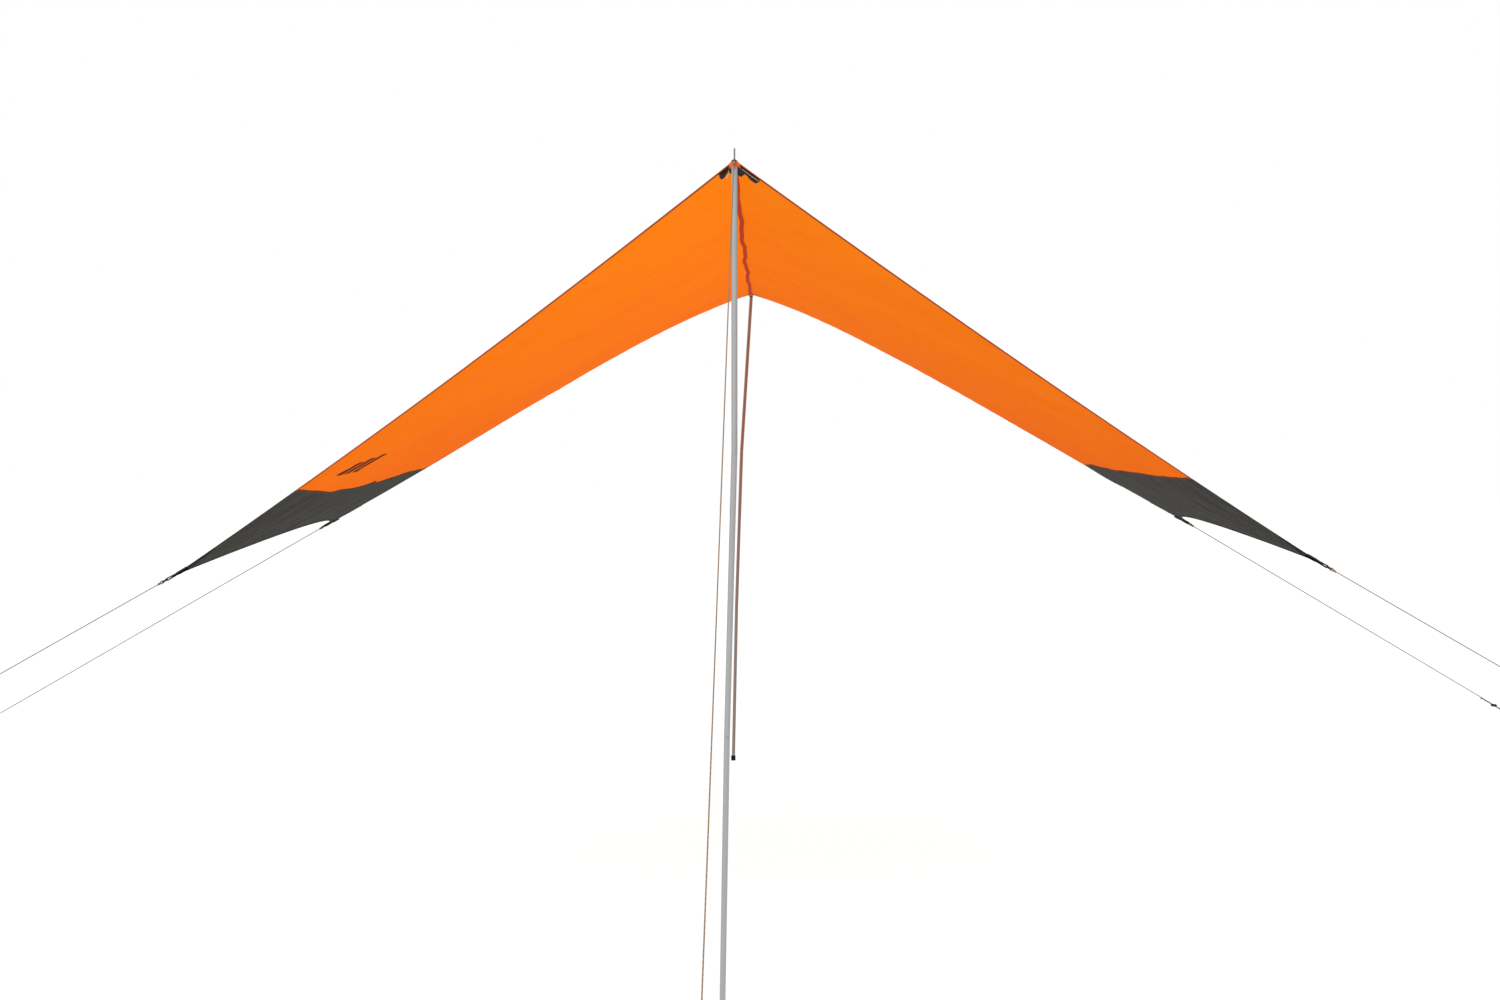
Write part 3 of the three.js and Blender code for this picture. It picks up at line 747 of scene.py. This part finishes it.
def grid_normals(grid):
    """Normals that point up, out of the top of the tarp."""
    normals = unit(np.cross(np.gradient(grid, axis=0), np.gradient(grid, axis=1)))
    return np.where(normals[..., 2:] < 0, -normals, normals)


normals = {side: grid_normals(grid) for side, grid in grids.items()}


# ---- Cloth panels ----
def grid_places(grid):
    """Each point's metres along its row and down its column."""
    along = np.cumsum(np.linalg.norm(np.diff(grid, axis=1, prepend=grid[:, :1]), axis=2), axis=1)
    down = np.cumsum(np.linalg.norm(np.diff(grid, axis=0, prepend=grid[:1]), axis=2), axis=0)
    return np.stack([along.ravel(), down.ravel()], axis=1)


def add_panel(name, grid, material, slot, node):
    faces = grid_faces(*grid.shape[:2])
    places = grid_places(grid)
    uvs = [places[v] for face in faces for v in face]
    piece = add_piece(name, grid.reshape(-1, 3), faces, material, "canopy", slot, uvs, node)


def add_panels(side):
    roof, strip = grids[side][: ROOF_STEPS + 1], grids[side][ROOF_STEPS:]
    panel = f"tarp_roof_{side}"
    add_panel(panel, roof, orange_cloth, "orange_cloth", f"roof_panel_{side}")
    add_panel(f"tarp_side_{side}", strip, dark_cloth, "dark_cloth", f"side_panel_{side}")


for side in SIDES:
    add_panels(side)


# ---- Hems, seams and ridge tape ----
def evened(values, reach=6):
    """Directions averaged with their neighbours along a path."""
    padded = np.concatenate([values[:1].repeat(reach, 0), values, values[-1:].repeat(reach, 0)])
    return unit(sum(padded[i : i + len(values)] for i in range(2 * reach + 1)))


def edge_frames(side, row=None, column=None):
    """A grid line with its normals and the directions that leave the cloth square to it."""
    grid, up = grids[side], normals[side]
    if column is not None:
        grid, up, row = grid.swapaxes(0, 1), up.swapaxes(0, 1), column
    path, inner = grid[row], grid[row + (1 if row == 0 else -1)]
    normal = evened(up[row])
    out = unit(np.cross(np.gradient(path, axis=0), normal))
    if ((path - inner) * out).sum(axis=1).mean() < 0:
        out = -out
    return path, out, normal


def add_strip(name, path, out, normal, profile, material, slot, node=None):
    points, faces, uvs = swept(path, out, normal, profile)
    return crisp(add_piece(name, points, faces, material, "canopy", slot, uvs, node))


def add_end_hem(side, end, profile):
    """One tape along the whole end edge, reddish on the roof panel and black on the side panel."""
    name = f"{end}_{side}"
    frames = edge_frames(side, column=0 if end == "near" else -1)
    hem = add_strip(f"hem_{name}", *frames, profile, hem_tape, "edge_tape", f"edge_binding_{name}")
    hem.data.materials.append(dark_tape)
    for face in hem.data.polygons:
        row = min(face.vertices) // len(profile)
        face.material_index = int(row >= ROOF_STEPS)


def add_hems(side):
    profile = strap_profile(0.0105, 0.0009, low=-0.0045)
    for end in ENDS:
        add_end_hem(side, end, profile)
    add_strip(f"hem_side_{side}", *edge_frames(side, row=-1), profile, dark_tape, "dark_webbing",
              f"edge_binding_side_{side}")
    profile = strap_profile(0.006, 0.0008)
    add_strip(f"panel_seam_{side}", *edge_frames(side, row=ROOF_STEPS), profile, joining_tape, "edge_tape")


for side in SIDES:
    add_hems(side)


def add_ridge_tape():
    """The taped ridge seam, an inverted V just under the crease."""
    path = grids["left"][0][2:-2]
    half, gap, thickness = 0.007, 0.0006, 0.0014
    crest = [(half * k, -abs(half * k) * math.tan(ROOF_SLOPE) - gap) for k in (-1, -0.5, 0, 0.5, 1)]
    profile = crest + [(x, z - thickness) for x, z in crest[::-1]]
    across = np.array([1.0, 0.0, 0.0])
    add_strip("ridge_tape", path, across, UP, profile, seam_tape, "edge_tape", "ridge_seam_tape")


add_ridge_tape()


# ---- Places on the settled cloth ----
def on_cloth(side, s, t, lift=0.0):
    """Points of the settled cloth, a share s down the slope and t along it, lifted along its normal."""
    s, t = np.broadcast_arrays(np.asarray(s, float), np.asarray(t, float))
    seam = seam_share(side, t)
    row = np.where(s < seam, s / seam * ROOF_STEPS, ROOF_STEPS + (s - seam) / (1 - seam) * SIDE_STEPS)
    column = t * LONG_STEPS
    i = np.clip(row.astype(int), 0, ROOF_STEPS + SIDE_STEPS - 1)
    j = np.clip(column.astype(int), 0, LONG_STEPS - 1)
    u, v = (row - i)[..., None], (column - j)[..., None]

    def read(grid):
        top, bottom = (between(grid[k, j], grid[k, j + 1], v) for k in (i, i + 1))
        return between(top, bottom, u)

    normal = unit(read(normals[side]))
    return read(grids[side]) + normal * np.asarray(lift)[..., None], normal


SLOPE_LENGTH = 2.17  # ridge to side edge, for turning metres into shares
TARP_LENGTH = 2 * (POLE_Y - TIP_INSET)


def from_end(end, depth):
    """The share t of a place this many metres in from an end edge."""
    share = np.asarray(depth) / TARP_LENGTH
    return share if end == "near" else 1 - share


def add_plate(name, points, up, low, high, material, node=None):
    """A grid of points made into a closed plate from low to high along its normals, with UVs in metres."""
    layers = np.concatenate([(points + up * high).reshape(-1, 3), (points + up * low).reshape(-1, 3)])
    faces = grid_faces(*points.shape[:2])
    count = len(layers) // 2
    faces += [tuple(v + count for v in face[::-1]) for face in faces]
    index = np.arange(count).reshape(points.shape[:2])
    rim = [*index[0], *index[1:, -1], *index[-1, -2::-1], *index[-2:0:-1, 0]]
    for a, b in zip(rim, rim[1:] + rim[:1]):
        faces.append((b, a, a + count, b + count))
    places = grid_places(points)
    uvs = [places[v % count] for face in faces for v in face]
    return outward(add_piece(name, layers, faces, material, "canopy", "dark_webbing", uvs, node))


# ---- Apex: the black reinforcements, the orange caps with their eyelets, and the small loop ----
PATCH_WIDTHS = {"right": 0.091, "left": 0.060}
PATCH_LOBES = {  # each lobe's middle and half width, as shares of the patch's width, and its reach
    "right": ((0.0, 0.42, 0.160), (0.0, 0.90, 0.070), (0.70, 0.26, 0.085)),
    "left": ((0.0, 0.45, 0.145), (0.0, 0.95, 0.070), (0.80, 0.22, 0.085)),
}


def add_apex_patches(end):
    """Lobed patches on both slopes, under the cloth at the near end and on top of it at the far end."""
    edge, least = 0.002, 0.012
    low, high = (-0.0042, -0.0012) if end == "near" else (0.0008, 0.0028)
    for side in SIDES:
        share = np.linspace(0.01, 0.985, 48)[:, None]
        reach = np.full(share.shape, least)
        for middle, half, depth in PATCH_LOBES[side]:
            reach = np.maximum(reach, depth * np.exp(-(((share - middle) / half) ** 4)))
        inwards = between(edge, reach, np.linspace(0, 1, 12)[None, :])
        points, up = on_cloth(side, share * PATCH_WIDTHS[side] / SLOPE_LENGTH, from_end(end, inwards))
        node = f"apex_patch_{end}"
        crisp(add_plate(f"{node}_{side}", points, up, low, high, patch_cloth, node))


CAP_FOLD, CAP_CREST = 1.3, 0.009  # the slope of the caps' sides, and how rounded their crest is
CAP_LENGTH, CAP_BEND = 0.115, 0.007  # the bend is this far past the eyelet's middle
CAPS = {  # half width, how far the cap reaches past the eyelet's middle, and how far its front bends down
    "near": (0.0155, 0.030, 0.020),
    "far": (0.0110, 0.012, 0.001),
}
CAP_HOLE = 0.0054
CAP_THICK = 0.0012  # half of it


def bent(x, z, share=1.0):
    """The fold of the caps: heights dropped by how far they are from the middle."""
    return z - share * CAP_FOLD * (np.hypot(x, CAP_CREST) - CAP_CREST)


def add_cap(end):
    """A folded cap of orange cloth on the end of the ridge, with the eyelet the pole's spike goes through."""
    half, overhang, droop = CAPS[end]
    c, s = circle(64).T
    edge_x = half * np.copysign(np.abs(c) ** 0.38, c)
    edge_y = CAP_LENGTH / 2 * (np.copysign(np.abs(s) ** 0.6, s) - 1) + overhang
    share = np.linspace(0, 1, 9)[:, None]
    x = between(CAP_HOLE * c, edge_x, share)
    reach = between(CAP_HOLE * s, edge_y, share)
    y = ENDS[end] * (POLE_Y + reach)
    past = np.clip((reach - CAP_BEND) / (overhang - CAP_BEND), 0, 1)
    height = bent(x, RIDGE_Z, 1 - 0.85 * past) - droop * past**1.2
    top, bottom = (np.stack([x, y, height + lift], axis=-1) for lift in (CAP_THICK, -CAP_THICK))
    rings = np.concatenate([top, bottom[::-1]])
    points = rings.reshape(-1, 3)
    faces = grid_faces(*rings.shape[:2], close_columns=True, close_rows=True)
    uvs = [(points[v][1], points[v][0]) for face in faces for v in face]
    node = f"ridge_tab_{end}"
    crisp(outward(add_piece(f"ridge_cap_{end}", points, faces, cap_cloth, "canopy", "edge_tape", uvs, node)))
    section = [(0.0047, -0.0022), (0.0054, -0.0030), (0.0084, -0.0026), (0.0088, -0.0018), (0.0056, -0.0014)]
    section += [(r, -z) for r, z in section[::-1]]
    points, faces = turned(section, 32)
    points[:, 2] = bent(points[:, 0], points[:, 2])
    points += (0.0, ENDS[end] * POLE_Y, RIDGE_Z)
    node = f"eyelet_{end}"
    crisp(outward(add_piece(f"cap_eyelet_{end}", points, faces, brass, "canopy", "brass", node=node)))


def add_apex_trim():
    """The pale sewn loop and strap seen under the near end of the ridge."""
    place, up = on_cloth("left", 0.011, 0.010)
    level = unit(np.cross(up, UP))
    below = place - UP * 0.002
    path = [below + level * 0.003]
    for angle in np.linspace(0, math.pi, 25):
        out = level * 0.004 * math.cos(angle) - np.array([0.006, 0, 0]) * math.sin(angle)
        path.append(place + out - UP * (0.006 + 0.020 * math.sin(angle)))
    path = np.array(path + [below - level * 0.003])
    across = np.array([0.0, 1.0, 0.0])
    normal = np.cross(unit(np.gradient(path, axis=0)), across)
    add_strip("apex_loop", path, across, normal, strap_profile(0.0035, 0.0007), pale_webbing, "orange_line")
    path, up = on_cloth("right", np.linspace(0.013, 0.040, 20), np.full(20, 0.0015), np.full(20, -0.0052))
    out = unit(np.cross(np.gradient(path, axis=0), up))
    add_strip("apex_strap", path, out, up, strap_profile(0.0011, 0.0006), pale_webbing, "orange_line")


for end in ENDS:
    add_apex_patches(end)
    add_cap(end)
add_apex_trim()


# ---- Corners: a black reinforcement, a folded webbing tab and a ring at each ----
CORNER_LINK = (0.009, 0.017, 0.0022)  # half width, length, and the wire's radius
RIDGE_LINK = (0.0058, 0.013, 0.0013)
WEB_HALF = 0.0125
WEB_THICK = 0.0010  # half of it


def add_ring(name, f, link, slot, node):
    """A rounded link in the plane of the pull, its outer end where the line is tied."""
    half, length, wire = link
    c, s = np.copysign(np.abs(circle(48)) ** 0.75, circle(48)).T
    path = np.stack([half * c, 0 * c, length / 2 * (s - 1)], axis=1)
    points, faces = closed_tube(in_frame(f, path), f["y"], wire, 12)
    outward(add_piece(name, points, faces, black_plastic, "canopy", slot, node=node))


def folded_tab(name, f, sewn, up, half, link, material, slot):
    """A webbing tab sewn on both sides of the cloth and folded round a link's inner end."""
    bar_half, length, wire = link
    bar = in_frame(f, [(0, 0, -length)])[0]
    reach = wire + WEB_THICK + 0.0003
    apart = np.linspace(0.0034, 0.0030, len(sewn))
    apart[-1] = 0.0016
    top = [p + up * d for p, d in zip(sewn, apart)]
    bottom = [p - up * d for p, d in zip(sewn[::-1], apart[::-1])]
    angles = np.linspace(math.pi / 2, -math.pi / 2, 13)
    bend = [bar + reach * (f["z"] * math.cos(a) + f["y"] * math.sin(a)) for a in angles]
    path = np.array(top + bend + bottom)
    ahead = unit(np.gradient(path, axis=0))
    across = unit(f["x"] - ahead * (ahead @ f["x"])[:, None])
    narrow = bar_half * 0.8 / half
    width = np.concatenate([np.ones(len(top)), np.full(len(bend), narrow), np.ones(len(bottom))])
    profile = strap_profile(half, WEB_THICK)
    return add_strip(name, path, across * width[:, None], np.cross(ahead, across), profile, material, slot)


CORNER_PATCH = (0.062, 0.13)  # its sides: a share of the slope, and metres along the side edge


def add_corner(name):
    f = lines[name]
    end, side = name.split("_")
    inner = np.linspace(0.0, 1.0, 12)[:, None]
    around = np.linspace(0.0, 1.0, 9)[None, :]
    s = 1 - CORNER_PATCH[0] * inner * (1 - around)
    points, up = on_cloth(side, s, from_end(end, CORNER_PATCH[1] * inner * around))
    points[0] += unit(points[0] - points[-1].mean(axis=0)) * 0.0002 * np.arange(9)[:, None]
    crisp(add_plate(f"corner_patch_{name}", points, up, -0.0022, 0.0022, patch_cloth))
    corner = cloth_corner(name)
    inwards, up = on_cloth(side, 0.975, 0.02 if end == "near" else 0.98)
    back = unit(inwards - corner)
    sewn = [corner + back * d for d in np.linspace(0.034, 0.002, 8)] + [corner + f["z"] * 0.008]
    tab = folded_tab(f"corner_web_{name}", f, sewn, up, WEB_HALF, CORNER_LINK, webbing, "dark_webbing")
    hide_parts(f"corner_tab_{name}")
    add_ring(f"corner_link_{name}", f, CORNER_LINK, "black_plastic", f"corner_ring_{name}")


for name in CORNERS:
    add_corner(name)


# ---- Poles: three tubes each, with spigots, a turned tip and a rubber foot ----
POLE_RADIUS = 0.008
POLE_BORE = 0.007
POLE_RIM = 0.0006  # the rounding of a tube's ends, and the gap where two sections meet
SPIGOT = 0.0066  # its radius
SPIGOT_LENGTH = 0.060
SPIKE = 0.0022
FOOT_RADIUS, FOOT_HEIGHT = 0.011, 0.024
FOOT_FLOOR = 0.0053  # the tube's end stands this high in the foot
BREAK_HEIGHTS = (1.534, 0.770)  # where the sections meet
BREAK_LEAN = {"near": (-0.009, -0.038), "far": (-0.056, -0.090)}  # their sideways places


def add_turned(name, outline, origin, axis, material, body, slot, node=None):
    points, faces = turned(outline, 40)
    points = oriented(points, origin, axis)
    crisp(outward(add_piece(name, points, faces, material, body, slot, node=node)), 30)


def section_outline(length):
    """A tube with rounded ends and a slight collar at its lower one."""
    r, bore, collar = POLE_RADIUS, POLE_BORE, POLE_RADIUS + 0.0002
    outline = [(bore, 0.0004), (bore + 0.0004, 0), (r - POLE_RIM, 0), (r, POLE_RIM), (collar, 0.002)]
    outline += [(collar, 0.005), (r, 0.0062), (r, length - 0.004), (r - 0.0001, length - 0.001)]
    return outline + [(r - POLE_RIM, length), (bore + 0.0004, length), (bore, length - 0.0004)]


def tip_outline(height):
    """A plug in the top of the tube, with a domed shoulder and the spike."""
    rounding = np.linspace(0, 1.25, 12)
    dome = [(POLE_RADIUS * math.cos(a), 0.0003 + POLE_RADIUS * 0.95 * math.sin(a)) for a in rounding]
    plug = [(0, -0.03), (SPIGOT - 0.001, -0.03), (SPIGOT, -0.029), (SPIGOT, 0.0003)]
    point = [(SPIKE - 0.0005, height - 0.0012), (SPIKE - 0.0014, height), (0, height)]
    return plug + dome + [(SPIKE, 0.0088), (SPIKE, height - 0.004)] + point


def foot_outline():
    """A rubber cap with three grooves round it and a socket for the tube."""
    r, inner = FOOT_RADIUS, 0.0094
    outline = [(0, 0), (r - 0.0015, 0), (r - 0.0002, 0.0012), (r, 0.004)]
    for z in (0.006, 0.010, 0.014):
        outline += [(r, z), (r - 0.0007, z + 0.0007), (r - 0.0007, z + 0.0018), (r, z + 0.0025)]
    outline += [(r, FOOT_HEIGHT - 0.0012), (r - 0.0008, FOOT_HEIGHT), (inner, FOOT_HEIGHT)]
    return outline + [(inner, 0.005), (0, 0.005)]


def add_pole(end):
    material, slot = (near_steel, "steel") if end == "near" else (far_steel_painted_reflection, "bronzed_steel")
    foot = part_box(f"{end}_pole_foot")
    x, y, _ = (foot[0] + foot[1]) / 2
    places = [np.array(joints[f"{end}_pole_swing"]["pos_m"])]
    places += [np.array([lean, ENDS[end] * POLE_Y, z]) for lean, z in zip(BREAK_LEAN[end], BREAK_HEIGHTS)]
    places += [np.array([x, y, FOOT_FLOOR])]
    for number, part in enumerate(("upper", "middle", "lower")):
        top, bottom = places[number], places[number + 1]
        length = np.linalg.norm(top - bottom) - (POLE_RIM if number else 0.0)
        body = f"{end}_pole_{part}"
        outline = section_outline(length)
        add_turned(f"{end}_tube_{part}", outline, bottom, unit(top - bottom), material, body, slot, body)
        if number:
            spigot = [(0, -0.02), (SPIGOT, -0.02), (SPIGOT, SPIGOT_LENGTH - 0.002)]
            spigot += [(SPIGOT - 0.0015, SPIGOT_LENGTH), (0, SPIGOT_LENGTH)]
            lead = unit(places[number - 1] - top)
            add_turned(f"{end}_spigot_{part}", spigot, top, lead, bright_steel, body, slot)
    body, node = f"{end}_pole_upper", f"{end}_pole_tip"
    outline = tip_outline(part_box(node)[1].z - places[0][2])
    up = unit(places[0] - places[1])
    add_turned(f"{end}_spike", outline, places[0], up, bright_steel, body, "bright_steel", node)
    body, node = f"{end}_pole_lower", f"{end}_pole_foot"
    add_turned(f"{end}_boot", foot_outline(), (x, y, 0), UP, black_rubber, body, "black_plastic", node)


for end in ENDS:
    add_pole(end)


# ---- Pegs and runners ----
PEG_HOOK = 0.008  # half the hook's width
PEG_ABOVE_LINE = 0.007
PEG_TIP = (0.0, 0.005, 0.018)  # rows along its point, and their radii
PEG_TIP_RADII = (0.0006, 0.0014, PEG_RADIUS)


def add_peg(guy):
    f = lines[guy]
    x, length = LOOP_RADIUS, f["length"]
    heights = [rise - PEG_BELOW_LINE for rise in PEG_TIP] + list(np.linspace(-0.135, PEG_ABOVE_LINE, 24))
    path = [(x, y, length) for y in heights]
    for angle in np.linspace(math.pi, 0, 17)[1:]:
        y, z = PEG_HOOK * math.sin(angle), PEG_HOOK * (1 + math.cos(angle))
        path.append((x, PEG_ABOVE_LINE + y, length + z))
    path.append((x, PEG_ABOVE_LINE - 0.009, length + 2 * PEG_HOOK))
    radius = np.full(len(path), PEG_RADIUS)
    radius[: len(PEG_TIP)] = PEG_TIP_RADII
    points, faces, uvs = tube(in_frame(f, path), radius, 16, f["x"])
    body, node = f"guy_{guy}", f"peg_{guy}"
    crisp(add_piece(f"stake_{guy}", points, faces, bright_steel, body, "bright_steel", uvs, node), 50)


def add_runner_shape(guy):
    """The runner keeps its CAD shape, with its edges rounded."""
    runner = bpy.data.objects[f"line_runner_{guy}"]
    runner.data.materials.clear()
    runner.data.materials.append(black_plastic)
    rounding = runner.modifiers.new("rounding", "BEVEL")
    rounding.width = 0.0009
    rounding.segments = 3
    rounding.limit_method = "ANGLE"
    rounding.angle_limit = math.radians(40)


for guy in GUYS:
    add_peg(guy)
    add_runner_shape(guy)


# ---- The front line's ring on the near cap, and its twin at the far end ----
def add_ridge_ring(end):
    """The cap's tongue bends down over the pole's end to a small link."""
    ahead = np.array([0.0, ENDS[end], 0.0])
    anchor = lines["front"]["origin"] * (1, -ENDS[end], 1)
    f = {"origin": anchor, "x": np.cross(UP, ahead), "y": UP, "z": ahead}
    start = np.array([0.0, ENDS[end] * (POLE_Y + 0.009), RIDGE_Z - 0.0035])
    finish = anchor - ahead * (RIDGE_LINK[1] + 0.008)
    sewn = [between(start, finish, k) for k in np.linspace(0, 1, 6)]
    folded_tab(f"cap_tongue_{end}", f, sewn, UP * 0.5, 0.0055, RIDGE_LINK, cap_cloth, "edge_tape")
    add_ring(f"ridge_link_{end}", f, RIDGE_LINK, "bright_steel", f"ridge_ring_{end}")


for end in ENDS:
    add_ridge_ring(end)


# ---- A plain three-bar mark on the roof panel's underside ----
MARK_BARS = ((0.082, 0.034), (0.112, 0.042), (0.142, 0.050))  # where each starts, and how far up it reaches
MARK_FOOT, MARK_SLANT, MARK_WIDTH = 0.766, 0.022, 0.019


def add_mark():
    slant = np.linspace(0, 1, 8)[:, None]
    width = np.linspace(0, 1, 4)[None, :]
    for number, (start, reach) in enumerate(MARK_BARS):
        t = start + MARK_SLANT * slant + MARK_WIDTH * width
        points, up = on_cloth("left", MARK_FOOT - reach * slant, t)
        add_plate(f"mark_bar_{number + 1}", points, up, -0.0012, -0.0008, mark_ink)


add_mark()


# ---- Floor, light and finish ----
FLOOR_HALF = 40.0
WHITE = (1.0, 1.0, 1.0)


def add_stage():
    corners = [(x * FLOOR_HALF, y * FLOOR_HALF, 0) for x, y in ((-1, -1), (1, -1), (1, 1), (-1, 1))]
    mesh = bpy.data.meshes.new("floor")
    mesh.from_pydata(corners, [], [(0, 1, 2, 3)])
    s = Shade("floor", (0.10, 0.10, 0.10), 0.9, shine=0.0)
    s.put(s.surface.inputs["Emission Color"], WHITE)
    s.put(s.surface.inputs["Emission Strength"], 0.95)
    mesh.materials.append(s.material)
    new_object("floor", mesh)


def add_world():
    """Soft light all round, a little stronger from the near left and from above, on a white background."""
    world = bpy.data.worlds.new("studio")
    world.use_nodes = True
    bpy.context.scene.world = world
    nodes = Nodes(world.node_tree)
    lighting = nodes.tree.nodes["Background"]
    lean = nodes.dot(nodes.add("ShaderNodeTexCoord").outputs["Generated"], (-0.16, -0.22, 0.12))
    nodes.put(lighting.inputs["Color"], WHITE)
    nodes.put(lighting.inputs["Strength"], nodes.math("ADD", lean, 0.90))
    backdrop = nodes.add("ShaderNodeBackground", Color=WHITE)
    seen = nodes.add("ShaderNodeLightPath").outputs["Is Camera Ray"]
    both = nodes.mix_shaders(seen, lighting.outputs[0], backdrop.outputs[0])
    nodes.put(nodes.tree.nodes["World Output"].inputs[0], both)


def add_lamps():
    softbox = bpy.data.lights.new("softbox", "AREA")
    softbox.shape = "RECTANGLE"
    softbox.size, softbox.size_y = 3.0, 4.0
    softbox.energy = 20
    new_object("softbox", softbox).location = (-0.4, 0.0, 4.6)
    sun = bpy.data.lights.new("sun", "SUN")
    sun.energy = 0.8
    sun.angle = math.radians(12)
    new_object("sun", sun).rotation_euler = (math.radians(28), math.radians(-14), 0)


add_stage()
add_world()
add_lamps()
bpy.context.scene.view_settings.view_transform = "Standard"
